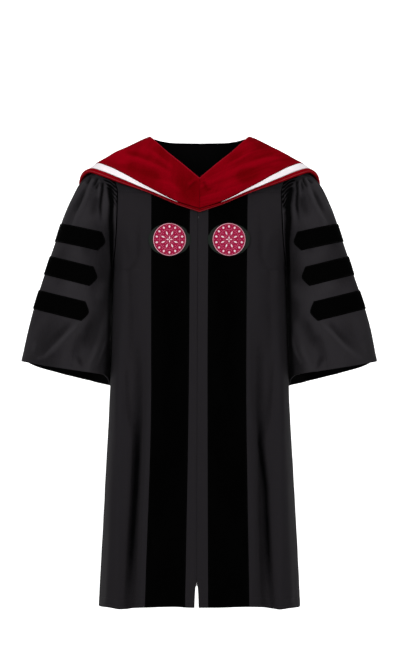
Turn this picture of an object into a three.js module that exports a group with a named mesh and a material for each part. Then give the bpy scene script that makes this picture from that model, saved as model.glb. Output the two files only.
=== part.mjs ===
// A doctoral graduation gown with its velvet hood, hollow as it hangs on a standing figure.
// Millimetres. +X is the viewer's right, -Y is the front and +Z is up. The origin lies between
// the two neck points of the shoulders, where the wearer carries the weight. Left and right
// are the wearer's, so the right side is at -X.
// Every piece is a thin cloth wall. A surface gives the point of its outer face at two places,
// u around the body or limb and v along it, and the inner face lies the cloth's thickness behind.
import * as THREE from "three";

// Cloth thicknesses, and the clearances between pieces
const CLOTH = 2;
const VELVET = 2.2;
const HOOD_CLOTH = 2.6;
const PATCH_CLOTH = 1.2;
const BADGE_CLOTH = 1.6;
const SEAM_GAP = 0.4;
const ARMHOLE_GAP = 0.9;
const LAID_GAP = 0.6;

// The hem is level at the side seams and curves up in front and more behind
const HEM_Z = -1203;
const HEM_RISE = { front: 15, back: 35 };
const YOKE_SEAM_Z = -132;
const ARMHOLE = { centreZ: -195, halfHeight: 137, halfDepth: 92 };
const UNDERARM_Z = ARMHOLE.centreZ - ARMHOLE.halfHeight;

// Level sections of the body. Each is a rounded box: how far its side seam or armhole edge is
// from the centre, the depths of its front and back halves, and how square it is
const BODY = [
  { z: -1209, side: 262, front: 184, back: 190, square: 2.6 },
  { z: -900, side: 245, front: 164, back: 172, square: 2.8 },
  { z: -620, side: 230, front: 147, back: 152, square: 3 },
  { z: -332, side: 223, front: 128, back: 132, square: 3.2 },
  { z: -280, side: 217, front: 124, back: 128, square: 3.2 },
  { z: -220, side: 212.5, front: 119, back: 123, square: 3.2 },
  { z: -132, side: 210, front: 112, back: 116, square: 3.2 },
  { z: -110, side: 215, front: 112, back: 116, square: 3.2 },
  { z: -80, side: 230, front: 112, back: 116, square: 3.2 },
  { z: -58, side: 245, front: 112, back: 116, square: 3.2 },
];

// Where the front opening and the edges of the velvet panels lie, from the middle of the body
const FRONT_EDGES = [
  { z: -1203, opening: -7.4, rightIn: 36.6, rightOut: 138, leftIn: 22, leftOut: 126 },
  { z: -616, opening: -5.8, rightIn: 27.2, rightOut: 123, leftIn: 20.5, leftOut: 119 },
  { z: -132, opening: -3.6, rightIn: 24.3, rightOut: 123, leftIn: 23.3, leftOut: 123 },
];
const SLIT = { height: 58, halfWidth: 5, roundness: 0.3, fullShare: 0.85 };

// Folds of the fronts, placed by their share of the way from the panel to the side seam
const FRONT_FOLDS = [
  { share: 0.2, width: 0.12, depth: 17, startZ: -380, fullZ: -720 },
  { share: 0.46, width: 0.14, depth: -7, startZ: -300, fullZ: -900 },
  { share: 0.34, width: 0.12, depth: 4, startZ: -150, fullZ: -330 },
];

// The back is pleated into the yoke, and the pleats open into broad folds towards the hem
const BACK_PLEATS = { count: 22, depth: 2.8, deepBelow: 30, fadeZ: -430, edge: 0.08 };
const BACK_FOLDS = { count: 6, depth: 12, unevenness: 0.35 };

// Sections of a sleeve from the armhole (0) to the cuff (1): where each meets the outer fold,
// where it meets the inner side and how clear that is of the body, and its half depth
const SLEEVE = [
  { v: 0, outX: 245.9, outZ: -58, inZ: -332, clear: 0.9, halfDepth: 92, square: 2 },
  { v: 0.06, outX: 268, outZ: -66.5, inZ: -345, clear: 1.6, halfDepth: 97, square: 2 },
  { v: 0.12, outX: 290, outZ: -82.6, inZ: -358, clear: 3, halfDepth: 101, square: 2.1 },
  { v: 0.17, outX: 302, outZ: -95.6, inZ: -369, clear: 3.4, halfDepth: 104, square: 2.1 },
  { v: 0.23, outX: 315, outZ: -112, inZ: -382, clear: 3.7, halfDepth: 106, square: 2.1 },
  { v: 0.3, outX: 329, outZ: -140, inZ: -398, clear: 4, halfDepth: 108, square: 2.2 },
  { v: 0.4, outX: 351, outZ: -190, inZ: -423, clear: 4, halfDepth: 110, square: 2.2 },
  { v: 0.56, outX: 382, outZ: -278, inZ: -465, clear: 4, halfDepth: 112, square: 2.2 },
  { v: 0.7, outX: 408, outZ: -356, inZ: -508, clear: 4, halfDepth: 114, square: 2.3 },
  { v: 0.84, outX: 433, outZ: -440, inZ: -552, clear: 4, halfDepth: 117, square: 2.3 },
  { v: 1, outX: 459, outZ: -567, inZ: -602, clear: 4, halfDepth: 120, square: 2.3 },
];
const SLEEVE_CENTRE = { x: 290, z: -330 };

// Below the underarm the back of a sleeve's inner side leans in past the edge of the body
const SLEEVE_LEAN = { depth: 15, y: 68, width: 30, startV: 0.14, fullV: 0.34 };

const SLEEVE_GIRTH = 760;
const HEAD_BLEND = 0.14;
const CUFF = { backDrop: 34, startV: 0.6 };

// Gathers of the sleeve head within a share of a turn either side of its outer fold. They fade
// with height. The seams of the under sleeve lie on a crest. Below are broad slanting folds
const GATHERS = { count: 25, turn: 0.34, fadeTurn: 0.29, depth: 2.7, fullV: 0.05, fadeZ: -120, endZ: -240 };
const SEAM_TURN = (GATHERS.turn * 2 * 10) / GATHERS.count;
const SLEEVE_FOLDS = { count: 5, depth: 4, slant: 0.8, startV: 0.35, fullV: 0.8, fadeTurn: 0.26, edgeTurn: 0.36 };

// Velvet bars: a point of the edge has height level + slope * distance from the middle of the
// body. Their ends are blunt points, the same in front and behind, and each lies clear of the
// sleeve by a little more than the sleeve's own curve rises between its columns
const BARS = [
  { name: "bar_top", slope: 0.22, top: -289.7, bottom: -339.7, tip: 242, clear: 1.45 },
  { name: "bar_middle", slope: 0.25, top: -391.7, bottom: -443.6, tip: 262.5, clear: 1.3 },
  { name: "bar_bottom", slope: 0.245, top: -484.5, bottom: -536.6, tip: 283.3, clear: 2.2 },
];
const BAR_END = { point: 17, lean: 10, margin: 0.006, fineTurn: 0.24 };

// The yoke by station: 0 to 1 along the front seam, to 2 over the armhole, to 3 along the back
const YOKE = [
  { q: 0, neckX: 0.2, neckY: -113, neckZ: -112, rise: 0 },
  { q: 0.35, neckX: 34, neckY: -106, neckZ: -90, rise: 1 },
  { q: 0.7, neckX: 72, neckY: -82, neckZ: -52, rise: 3 },
  { q: 1, neckX: 102, neckY: -54, neckZ: -17, rise: 5 },
  { q: 1.3, neckX: 117, neckY: -22, neckZ: 5, rise: 4 },
  { q: 1.5, neckX: 120, neckY: 8, neckZ: 12, rise: 4 },
  { q: 1.7, neckX: 116, neckY: 34, neckZ: 13, rise: 4 },
  { q: 2, neckX: 102, neckY: 60, neckZ: 10, rise: 3 },
  { q: 2.4, neckX: 64, neckY: 79, neckZ: 6, rise: 2 },
  { q: 3, neckX: 0, neckY: 89, neckZ: 5.5, rise: 2 },
];

// The hood by station, from the centre front (0) over the shoulder (5) to the centre back (9):
// its neck edge, its outer edge, the swell between them, and the shares of the way out at
// which its velvet meets the lining and the lining meets the rim
const HOOD = [
  { q: 0, neckX: 0.2, neckY: -121, neckZ: -98, outX: 0.2, outY: -120, outZ: -185, swell: 4, velvet: 0.893, lining: 0.9 },
  { q: 1, neckX: 41, neckY: -112, neckZ: -63, outX: 57, outY: -120.5, outZ: -166, swell: 3.5, velvet: 0.925, lining: 0.938 },
  { q: 2, neckX: 84, neckY: -82, neckZ: -27, outX: 137.5, outY: -114, outZ: -132.5, swell: 6, velvet: 0.89, lining: 0.955 },
  { q: 3, neckX: 114, neckY: -48, neckZ: 2, outX: 202, outY: -92, outZ: -110, swell: 8.5, velvet: 0.83, lining: 0.934 },
  { q: 4, neckX: 125, neckY: -20, neckZ: 13, outX: 259, outY: -64, outZ: -87.5, swell: 7.5, velvet: 0.807, lining: 0.928 },
  { q: 4.5, neckX: 127.5, neckY: -3, neckZ: 15, outX: 285, outY: -34, outZ: -79.5, swell: 9, velvet: 0.81, lining: 0.934 },
  { q: 5, neckX: 127, neckY: 14, neckZ: 14, outX: 306.5, outY: 0, outZ: -92, swell: 13, velvet: 0.79, lining: 0.935 },
  { q: 5.5, neckX: 125.5, neckY: 34, neckZ: 12, outX: 313, outY: 38, outZ: -110, swell: 17, velvet: 0.765, lining: 0.915 },
  { q: 6, neckX: 119, neckY: 53, neckZ: 9, outX: 305, outY: 78, outZ: -130, swell: 17.5, velvet: 0.73, lining: 0.89 },
  { q: 7, neckX: 86, neckY: 82, neckZ: 4, outX: 232, outY: 116, outZ: -190, swell: 17, velvet: 0.68, lining: 0.86 },
  { q: 8, neckX: 46, neckY: 96, neckZ: 0, outX: 120, outY: 136, outZ: -250, swell: 14, velvet: 0.63, lining: 0.84 },
  { q: 9, neckX: 0, neckY: 101, neckZ: -1, outX: 0, outY: 141, outZ: -285, swell: 10, velvet: 0.6, lining: 0.83 },
];
const HOOD_SEAM_SHARE = 0.006;
const LINING_START = 1;

// The round badges and the oval patches behind them, one on each velvet panel
const BADGES = [
  { side: "right", x: -76.2 },
  { side: "left", x: 75.2 },
];
const BADGE = { z: -255, radius: 42, patchHalfWidth: 54, patchHalfHeight: 42 };

// How finely each piece is divided
const FRONT_ROWS = { skirt: 8, armhole: 8 };
const BACK_ROWS = { skirt: 6, armhole: 7 };
const FRONT_COLUMNS = { placket: 1, panel: 4, side: 9 };
const YOKE_COLUMNS = { front: 6, armhole: 18, back: 8 };
const YOKE_ROWS = 4;
const UNDER_COLUMNS = 7;
const HOOD_COLUMNS = 18;
const HOOD_ROWS = { velvet: 5, lining: 2, rim: 3 };
const DISC_CELLS = 6;

const GOWN_FINISH = { color: 0x232225, roughness: 0.72, metalness: 0 };
const VELVET_FINISH = { color: 0x060606, roughness: 0.95, metalness: 0 };
const HOOD_FINISH = { color: 0x8e0014, roughness: 0.85, metalness: 0 };
const RIM_FINISH = { color: 0x78000e, roughness: 0.7, metalness: 0 };
const LINING_FINISH = { color: 0xf2f3f2, roughness: 0.4, metalness: 0 };
const PATCH_FINISH = { color: 0x1f2722, roughness: 0.9, metalness: 0 };
const BADGE_FINISH = { color: 0xb0104a, roughness: 0.6, metalness: 0 };

const { lerp, smoothstep, clamp } = THREE.MathUtils;
const vector = (x, y, z) => new THREE.Vector3(x, y, z);
const SIDES = [
  { name: "right", sign: -1 },
  { name: "left", sign: 1 },
];
const UP = vector(0, 0, 1);
const BODY_CORE = vector(0, 0, -500);
const NUDGE = 1e-3;
const TURN = 2 * Math.PI;

// Places from one number to another, in equal steps, both ends included.
const steps = (from, to, count) => Array.from({ length: count + 1 }, (_, i) => lerp(from, to, i / count));

// The same for a run through several numbers, with its own count of steps between each pair.
function stepsThrough(stops, counts) {
  return counts.flatMap((count, i) => steps(stops[i], stops[i + 1], count).slice(i === 0 ? 0 : 1));
}

const signedPower = (value, power) => Math.sign(value) * Math.pow(Math.abs(value), power);
const bell = (distance, width) => Math.exp(-((distance / width) ** 2));

// Tables

// The slope of a table's curve at a row, level at each peak so that the curve never overshoots.
function slopeAt(rows, key, column, i) {
  const chord = (k) => (rows[k + 1][column] - rows[k][column]) / (rows[k + 1][key] - rows[k][key]);
  if (i === 0) return chord(0);
  if (i === rows.length - 1) return chord(i - 1);
  const [before, after] = [chord(i - 1), chord(i)];
  return before * after <= 0 ? 0 : (2 * before * after) / (before + after);
}

// Reads a column of a table at a place between its rows, on a smooth curve through them.
function track(rows, key, column, at) {
  const last = rows.length - 1;
  const place = clamp(at, rows[0][key], rows[last][key]);
  let i = 0;
  while (i < last - 1 && place > rows[i + 1][key]) i += 1;
  const span = rows[i + 1][key] - rows[i][key];
  const t = (place - rows[i][key]) / span;
  const lean = (1 - t) * slopeAt(rows, key, column, i) - t * slopeAt(rows, key, column, i + 1);
  return lerp(rows[i][column], rows[i + 1][column], t * t * (3 - 2 * t)) + span * t * (1 - t) * lean;
}

// Nets and walls

// A piece's net: the points of a surface at every pair of places, with their outward normals.
// `hold` gives the directions that a point's normal keeps square to, where the piece meets
// another at a seam, so that the edge's whole thickness lies in the seam.
function cut(surface, us, vs, core, hold = () => []) {
  const points = vs.map((v) => us.map((u) => surface(u, v)));
  const normals = vs.map((v) =>
    us.map((u) => {
      const around = surface(u + NUDGE, v).sub(surface(u - NUDGE, v));
      const along = surface(u, v + NUDGE).sub(surface(u, v - NUDGE));
      return around.cross(along).normalize();
    }),
  );
  const facing = points.flatMap((row, i) => row.map((p, j) => p.clone().sub(core).dot(normals[i][j])));
  const outward = Math.sign(facing.reduce((sum, value) => sum + value, 0));
  normals.forEach((row, i) =>
    row.forEach((normal, j) => {
      normal.multiplyScalar(outward);
      hold(i, j, points[i][j]).forEach((direction) => normal.projectOnPlane(direction).normalize());
    }),
  );
  return { us, vs, points, normals };
}

// A net moved out along its normals.
function lifted(net, distance) {
  const move = (p, normal) => p.clone().addScaledVector(normal, distance);
  return { ...net, points: net.points.map((row, i) => row.map((p, j) => move(p, net.normals[i][j]))) };
}

// Some of a net's columns, as a net.
function columnsOf(net, from, to) {
  const pick = (rows) => rows.map((row) => row.slice(from, to + 1));
  return { us: net.us.slice(from, to + 1), vs: net.vs, points: pick(net.points), normals: pick(net.normals) };
}

// The point of a net's flat faces at a place within it, and the normal there.
function onNet(net, u, v) {
  const cell = (places, at) => {
    const next = places.findIndex((place) => place > at);
    return clamp((next < 0 ? places.length : next) - 1, 0, places.length - 2);
  };
  const [i, j] = [cell(net.vs, v), cell(net.us, u)];
  const across = (u - net.us[j]) / (net.us[j + 1] - net.us[j]);
  const down = (v - net.vs[i]) / (net.vs[i + 1] - net.vs[i]);
  const [low, high] = [Math.min(across, down), Math.max(across, down)];
  const blend = (rows) =>
    rows[i][j]
      .clone()
      .multiplyScalar(1 - high)
      .addScaledVector(across > down ? rows[i][j + 1] : rows[i + 1][j], high - low)
      .addScaledVector(rows[i + 1][j + 1], low);
  return { point: blend(net.points), normal: blend(net.normals).normalize() };
}

// One named piece of cloth: a net is its outer face, and its inner face lies `thick` behind.
function wall(name, net, thick, finish) {
  const inner = lifted(net, -thick).points;
  const [rows, columns] = [net.points.length, net.points[0].length];
  const positions = [...net.points, ...inner].flat().flatMap((p) => [p.x, p.y, p.z]);
  const at = (i, j, face) => face * rows * columns + i * columns + j;
  const [endRow, endColumn] = [rows - 1, columns - 1];
  const index = [];
  const quad = (a, b, c, d) => index.push(a, b, c, a, c, d);
  for (let j = 0; j < endColumn; j += 1) {
    for (let i = 0; i < endRow; i += 1) {
      quad(at(i, j, 0), at(i, j + 1, 0), at(i + 1, j + 1, 0), at(i + 1, j, 0));
      quad(at(i, j, 1), at(i + 1, j, 1), at(i + 1, j + 1, 1), at(i, j + 1, 1));
    }
    quad(at(0, j, 1), at(0, j + 1, 1), at(0, j + 1, 0), at(0, j, 0));
    quad(at(endRow, j + 1, 0), at(endRow, j + 1, 1), at(endRow, j, 1), at(endRow, j, 0));
  }
  for (let i = 0; i < endRow; i += 1) {
    quad(at(i, 0, 0), at(i + 1, 0, 0), at(i + 1, 0, 1), at(i, 0, 1));
    quad(at(i + 1, endColumn, 1), at(i + 1, endColumn, 0), at(i, endColumn, 0), at(i, endColumn, 1));
  }
  const [i, j] = [Math.floor(endRow / 2), Math.floor(endColumn / 2)];
  const [corner, nextColumn, nextRow] = [net.points[i][j], net.points[i][j + 1], net.points[i + 1][j]];
  const faceNormal = nextColumn.clone().sub(corner).cross(nextRow.clone().sub(corner));
  if (faceNormal.dot(net.normals[i][j]) < 0) index.reverse();
  const geometry = new THREE.BufferGeometry();
  geometry.setAttribute("position", new THREE.Float32BufferAttribute(positions, 3));
  geometry.setIndex(index);
  geometry.computeVertexNormals();
  const mesh = new THREE.Mesh(geometry, new THREE.MeshStandardMaterial(finish));
  mesh.name = name;
  return mesh;
}

// The body

// How far the armhole's edge stands in front of and behind the shoulder line at a height. Below
// the underarm what is left is half the gap of the side seam.
function armholeDepth(z) {
  const up = (z - ARMHOLE.centreZ) / ARMHOLE.halfHeight;
  return Math.max(SEAM_GAP / 2, ARMHOLE.halfDepth * Math.sqrt(Math.max(0, 1 - up * up)));
}

const bodySide = (z) => track(BODY, "z", "side", z);

// The rounded box at a height. Beside the armhole it is wider than the cloth reaches, so that
// the cloth's edge lies on the armhole.
function sectionAt(z, half) {
  const depth = track(BODY, "z", half, z);
  const square = track(BODY, "z", "square", z);
  const open = Math.pow(armholeDepth(z) / depth, square);
  const halfWidth = bodySide(z) / Math.pow(1 - open, 1 / square);
  return { z, depth, square, halfWidth, edgeAngle: Math.asin(Math.sqrt(open)), facing: half === "front" ? -1 : 1 };
}

// A point of a section by its angle: 0 at the left side, a quarter turn at the middle.
function atAngle(section, angle) {
  const power = 2 / section.square;
  const x = section.halfWidth * signedPower(Math.cos(angle), power);
  return vector(x, section.facing * section.depth * signedPower(Math.sin(angle), power), section.z);
}

// A point of a section by its distance from the middle of the body.
function atX(section, x) {
  const left = 1 - Math.pow(Math.abs(x) / section.halfWidth, section.square);
  return vector(x, section.facing * section.depth * Math.pow(left, 1 / section.square), section.z);
}

// The level direction in which a section faces at one of its points.
function levelNormal(section, p) {
  const steep = (value, size) => signedPower(value / size, section.square - 1) / size;
  return vector(steep(p.x, section.halfWidth), steep(p.y, section.depth), 0).normalize();
}

// The stretch of a section between two angles, on which places are shares of its length.
class SectionArc extends THREE.Curve {
  constructor(section, from, to) {
    super();
    this.pointAt = (t) => atAngle(section, lerp(from, to, t));
    this.arcLengthDivisions = 80;
  }

  getPoint(t) {
    return this.pointAt(t);
  }
}

// Heights by v: 0 at the hem, 1 at the underarm, 2 at the yoke seam, even around the armhole.
const YOKE_SEAM_ANGLE = Math.acos((ARMHOLE.centreZ - YOKE_SEAM_Z + SEAM_GAP / 2) / ARMHOLE.halfHeight);
function bodyHeight(v) {
  if (v <= 1) return lerp(HEM_Z, UNDERARM_Z, v);
  return ARMHOLE.centreZ - ARMHOLE.halfHeight * Math.cos((v - 1) * YOKE_SEAM_ANGLE);
}

// Lifts or drops a point for the curve of the hem, fully at the hem and not at the underarm.
function curveHem(p, section) {
  const low = Math.max(0, (UNDERARM_Z - section.z) / (UNDERARM_Z - HEM_Z));
  const rise = section.facing < 0 ? HEM_RISE.front : HEM_RISE.back;
  p.z += rise * low ** 2 * Math.pow(Math.abs(p.y) / section.depth, 1.5);
  return p;
}

const bodyRows = (rows, hemRows = []) => stepsThrough([0, ...hemRows, 1, 2], [...hemRows.map(() => 1), rows.skirt, rows.armhole]);
const SLIT_ROWS = [SLIT.fullShare, 1].map((share) => (share * SLIT.height) / (UNDERARM_Z - HEM_Z));
const holdYokeSeam = (i, j, p) => (p.z > YOKE_SEAM_Z - SEAM_GAP ? [UP] : []);

// The signed places across a front at a height: the opening's edge and the panel's two edges.
function frontEdges(side, z) {
  const [panelIn, panelOut] = side.sign < 0 ? ["rightIn", "rightOut"] : ["leftIn", "leftOut"];
  const slit = SLIT.halfWidth * clamp(1 - (z - HEM_Z) / SLIT.height, 0, 1) ** SLIT.roundness;
  const read = (column) => track(FRONT_EDGES, "z", column, z);
  return [read("opening") + side.sign * (SEAM_GAP / 2 + slit), side.sign * read(panelIn), side.sign * read(panelOut)];
}

// How far a front's folds draw its cloth in, at a share of the way from panel to side seam.
function frontFold(share, z) {
  const free = smoothstep(share, 0, 0.1) * (1 - smoothstep(share, 0.85, 1));
  const draw = (fold) => fold.depth * bell(share - fold.share, fold.width) * smoothstep(-z, -fold.startZ, -fold.fullZ);
  return free * FRONT_FOLDS.reduce((sum, fold) => sum + draw(fold), 0);
}

// A front: u is 0 at the opening, 1 and 2 at the panel's edges, and 3 at the side seam.
function frontSurface(side) {
  return (u, v) => {
    const section = sectionAt(bodyHeight(v), "front");
    const [opening, panelIn, panelOut] = frontEdges(side, section.z);
    if (u <= 1) return curveHem(atX(section, lerp(opening, panelIn, u)), section);
    if (u <= 2) return curveHem(atX(section, lerp(panelIn, panelOut, u - 1)), section);
    const panelAngle = Math.acos(Math.pow(Math.abs(panelOut) / section.halfWidth, section.square / 2));
    const p = new SectionArc(section, panelAngle, section.edgeAngle).getPointAt(Math.min(u - 2, 1));
    p.addScaledVector(levelNormal(section, p), -frontFold(u - 2, section.z));
    p.x *= side.sign;
    return curveHem(p, section);
  };
}

// The back: u is 0 at the right side seam and 1 at the left one.
function backSurface(u, v) {
  const section = sectionAt(bodyHeight(v), "back");
  const p = new SectionArc(section, Math.PI - section.edgeAngle, section.edgeAngle).getPointAt(clamp(u, 0, 1));
  const free = smoothstep(u, 0, BACK_PLEATS.edge) * (1 - smoothstep(u, 1 - BACK_PLEATS.edge, 1));
  const belowSeam = smoothstep(YOKE_SEAM_Z - section.z, 0, BACK_PLEATS.deepBelow);
  const pleated = belowSeam * (1 - smoothstep(-section.z, -YOKE_SEAM_Z, -BACK_PLEATS.fadeZ));
  const pleat = BACK_PLEATS.depth * pleated * Math.cos(TURN * BACK_PLEATS.count * u);
  const swing = BACK_FOLDS.count * u + BACK_FOLDS.unevenness * Math.sin(TURN * u);
  const fold = BACK_FOLDS.depth * smoothstep(-section.z, -YOKE_SEAM_Z, -HEM_Z) * Math.cos(TURN * swing);
  p.addScaledVector(levelNormal(section, p), free * (pleat + fold));
  return curveHem(p, section);
}

// The surface between an inner and an outer edge, swollen outwards between them.
function between(inner, outer, swell, profile) {
  const base = (q, t) => inner(q).lerp(outer(q), t);
  return (q, t) => {
    const along = base(q + NUDGE, 0.5).sub(base(q - NUDGE, 0.5));
    const out = along.cross(outer(q).sub(inner(q))).normalize();
    if (out.dot(base(q, 0.5).sub(BODY_CORE)) < 0) out.negate();
    return base(q, t).addScaledVector(out, swell(q) * profile(clamp(t, 0, 1)));
  };
}

// A place around the yoke or hood runs from one centre front edge, less than 0, over the back
// at 0, to the other: the station counts from the centre front on both sides.
const stationOf = (place, last) => clamp(last - Math.abs(place), 0, last);
const sideOf = (place) => (place < 0 ? -1 : 1);

// The yoke's lower edge by station, on the right or left side.
function yokeEdge(side, q) {
  const z = YOKE_SEAM_Z + SEAM_GAP / 2;
  if (q >= 1 && q <= 2) {
    const seamAngle = Math.asin((z - ARMHOLE.centreZ) / ARMHOLE.halfHeight);
    const angle = lerp(seamAngle, Math.PI - seamAngle, q - 1);
    const height = ARMHOLE.centreZ + ARMHOLE.halfHeight * Math.sin(angle);
    return vector(side * bodySide(height), -ARMHOLE.halfDepth * Math.cos(angle), height);
  }
  const share = q < 1 ? q : 3 - q;
  const opening = q < 1 ? (1 - share) * track(FRONT_EDGES, "z", "opening", z) : 0;
  const start = q < 1 ? SEAM_GAP / 2 : 0;
  return atX(sectionAt(z, q < 1 ? "front" : "back"), opening + side * lerp(start, bodySide(z), share));
}

const YOKE_LAST = YOKE.at(-1).q;
const yokeSurface = between(
  (place) => {
    const q = stationOf(place, YOKE_LAST);
    const opening = (1 - Math.min(q, 1)) * track(FRONT_EDGES, "z", "opening", YOKE_SEAM_Z);
    const read = (column) => track(YOKE, "q", column, q);
    return vector(opening + sideOf(place) * read("neckX"), read("neckY"), read("neckZ"));
  },
  (place) => yokeEdge(sideOf(place), stationOf(place, YOKE_LAST)),
  (place) => track(YOKE, "q", "rise", stationOf(place, YOKE_LAST)),
  (t) => 4 * t * (1 - t),
);

// The direction square to the armhole's seam surface at a point on it.
function armholeFacing(p) {
  const lean = (bodySide(p.z + 1) - bodySide(p.z - 1)) / 2;
  return vector(Math.sign(p.x), 0, -lean).normalize();
}

// At its lower edge the yoke meets the level seams and the upright armhole, and both at a corner.
function holdYokeEdge(i, j, p) {
  if (i !== YOKE_ROWS) return [];
  const onSeam = p.z < YOKE_SEAM_Z + SEAM_GAP;
  const onArmhole = Math.abs(p.x) > bodySide(p.z) - SEAM_GAP;
  return [...(onSeam ? [UP] : []), ...(onArmhole ? [armholeFacing(p)] : [])];
}

// The sleeves

// How far the gathers of the sleeve head and the folds below them stand out.
function sleeveWave(turn, v, z) {
  const around = Math.abs(turn);
  const high = 1 - smoothstep(-z, -GATHERS.fadeZ, -GATHERS.endZ);
  const gathered = high * smoothstep(v, 0, GATHERS.fullV) * (1 - smoothstep(around, GATHERS.fadeTurn, GATHERS.turn));
  const loose = 1 - smoothstep(around, SLEEVE_FOLDS.fadeTurn, SLEEVE_FOLDS.edgeTurn);
  const folded = loose * smoothstep(v, SLEEVE_FOLDS.startV, SLEEVE_FOLDS.fullV);
  const gather = GATHERS.depth * gathered * Math.cos((TURN * GATHERS.count * turn) / (2 * GATHERS.turn));
  return gather + SLEEVE_FOLDS.depth * folded * Math.cos(TURN * (SLEEVE_FOLDS.count * turn + SLEEVE_FOLDS.slant * v));
}

// A sleeve: u is turns from the outer fold, more than 0 in front, and v runs to the cuff.
function sleeveSurface(side) {
  return (place, v) => {
    const turn = place > 0.5 ? place - 1 : place;
    const read = (column) => track(SLEEVE, "v", column, v);
    const outer = vector(read("outX"), 0, read("outZ"));
    const inner = vector(bodySide(read("inZ")) + read("clear"), 0, read("inZ"));
    const centre = outer.clone().lerp(inner, 0.5);
    const power = 2 / read("square");
    const across = signedPower(Math.cos(TURN * turn), power);
    const ahead = signedPower(Math.sin(TURN * turn), power);
    const p = centre.clone().addScaledVector(outer.sub(centre), across);
    p.y = -read("halfDepth") * ahead;
    const out = p.clone().sub(centre).normalize();
    p.x = lerp(p.x, bodySide(p.z) + ARMHOLE_GAP, clamp(1 - v / HEAD_BLEND, 0, 1) ** 2);
    p.addScaledVector(out, sleeveWave(turn, v, p.z));
    const tucked = Math.exp(-(((p.y - SLEEVE_LEAN.y) / SLEEVE_LEAN.width) ** 2)) * smoothstep(-across, 0, 0.5);
    p.x -= SLEEVE_LEAN.depth * tucked * smoothstep(v, SLEEVE_LEAN.startV, SLEEVE_LEAN.fullV);
    const behind = smoothstep(-ahead, -0.7, 0.6) * lerp(0.3, 1, (1 - across) / 2) * (1 - Math.max(0, across) ** 6);
    p.z -= CUFF.backDrop * behind * smoothstep(v, CUFF.startV, 1);
    p.x *= side.sign;
    return p;
  };
}

const sleeveTurns = stepsThrough([-0.5, -GATHERS.turn, GATHERS.turn, 0.5], [UNDER_COLUMNS, GATHERS.count * 2, UNDER_COLUMNS]);
const outerFold = (sleeveTurns.length - 1) / 2;
const sleeveRows = SLEEVE.map((row) => row.v);
const sleeveCore = (side) => vector(side.sign * SLEEVE_CENTRE.x, 0, SLEEVE_CENTRE.z);
const holdArmhole = (i, j, p) => (i === 0 ? [armholeFacing(p)] : []);

// The outer sleeve and the under sleeve, parted by the two long seams.
function sleevePieces(side) {
  const seamGap = SEAM_GAP / 2 / SLEEVE_GIRTH;
  const twice = [...sleeveTurns, ...sleeveTurns.slice(1).map((turn) => turn + 1)];
  const within = (from, to) => twice.filter((turn) => turn > from + NUDGE && turn < to - NUDGE);
  const piece = (name, from, to) => {
    const turns = [from + seamGap, ...within(from, to), to - seamGap];
    const net = cut(sleeveSurface(side), turns, sleeveRows, sleeveCore(side), holdArmhole);
    return wall(`${name}_${side.name}`, net, CLOTH, GOWN_FINISH);
  };
  return [piece("sleeve", -SEAM_TURN, SEAM_TURN), piece("under_sleeve", SEAM_TURN, 1 - SEAM_TURN)];
}

// The place between two ends where a falling measure reaches a value.
function findFall(measure, value, from, to) {
  let [low, high] = [from, to];
  for (let i = 0; i < 30; i += 1) {
    const middle = (low + high) / 2;
    if (measure(middle) > value) low = middle;
    else high = middle;
  }
  return low;
}

// A velvet bar round the outside of a sleeve, from one pointed end to the other, with a column
// at every or every second column of the sleeve, and at every one near its ends.
function sleeveBar(side, bar, everyNth) {
  const surface = sleeveSurface(side);
  const net = cut(surface, sleeveTurns, sleeveRows, sleeveCore(side));
  const levelOf = (p) => p.z - bar.slope * Math.abs(p.x);
  const rowAt = (turn, t) => findFall((v) => levelOf(surface(turn, v)), lerp(bar.top, bar.bottom, t), 0.01, 1);
  const reachAt = (turn, t) => Math.abs(surface(turn, rowAt(turn, t)).x);
  const endAt = (t) => bar.tip + BAR_END.point * Math.abs(2 * t - 1) + BAR_END.lean * (t - 0.5);
  const endTurn = (sense, t) => sense * findFall((turn) => reachAt(sense * turn, t), endAt(t), 0.1, 0.45);
  const rows = [0, 0.5, 1];
  const ends = rows.map((t) => [endTurn(-1, t), endTurn(1, t)]);
  const reach = Math.min(...ends.flat().map(Math.abs)) - BAR_END.margin;
  const used = (turn, j) => Math.abs(turn) > BAR_END.fineTurn || (j - outerFold) % everyNth === 0;
  const shared = sleeveTurns.filter((turn, j) => Math.abs(turn) < reach && used(turn, j));
  const turnsOf = (i) => [...steps(ends[i][0], shared[0], 2), ...shared.slice(1, -1), ...steps(shared.at(-1), ends[i][1], 2)];
  const places = rows.map((t, i) => turnsOf(i).map((turn) => onNet(net, turn, rowAt(turn, t))));
  const points = places.map((row) => row.map((place) => place.point));
  const normals = places.map((row) => row.map((place) => place.normal));
  return wall(`${bar.name}_${side.name}`, lifted({ points, normals }, bar.clear + VELVET), VELVET, VELVET_FINISH);
}

// The hood

const HOOD_LAST = HOOD.at(-1).q;
const hoodRead = (place, column) => track(HOOD, "q", column, stationOf(place, HOOD_LAST));
const hoodEdge = (edge) => (place) =>
  vector(sideOf(place) * hoodRead(place, `${edge}X`), hoodRead(place, `${edge}Y`), hoodRead(place, `${edge}Z`));
const hoodSurface = between(
  hoodEdge("neck"),
  hoodEdge("out"),
  (place) => hoodRead(place, "swell"),
  (t) => 3.5 * t * t * Math.sqrt(1 - t) + 2.4 * Math.sqrt(t) * (1 - t) ** 2,
);

// One band of the hood, between two shares of the way from the neck to the outer edge.
function hoodBand(name, start, from, to, rows, finish) {
  const surface = (place, t) => hoodSurface(place, lerp(from(place), to(place), t));
  const places = steps(-HOOD_LAST, HOOD_LAST, 2 * HOOD_COLUMNS).filter((place) => stationOf(place, HOOD_LAST) >= start);
  return wall(name, cut(surface, places, steps(0, 1, rows), BODY_CORE), HOOD_CLOTH, finish);
}

// The badges

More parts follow.
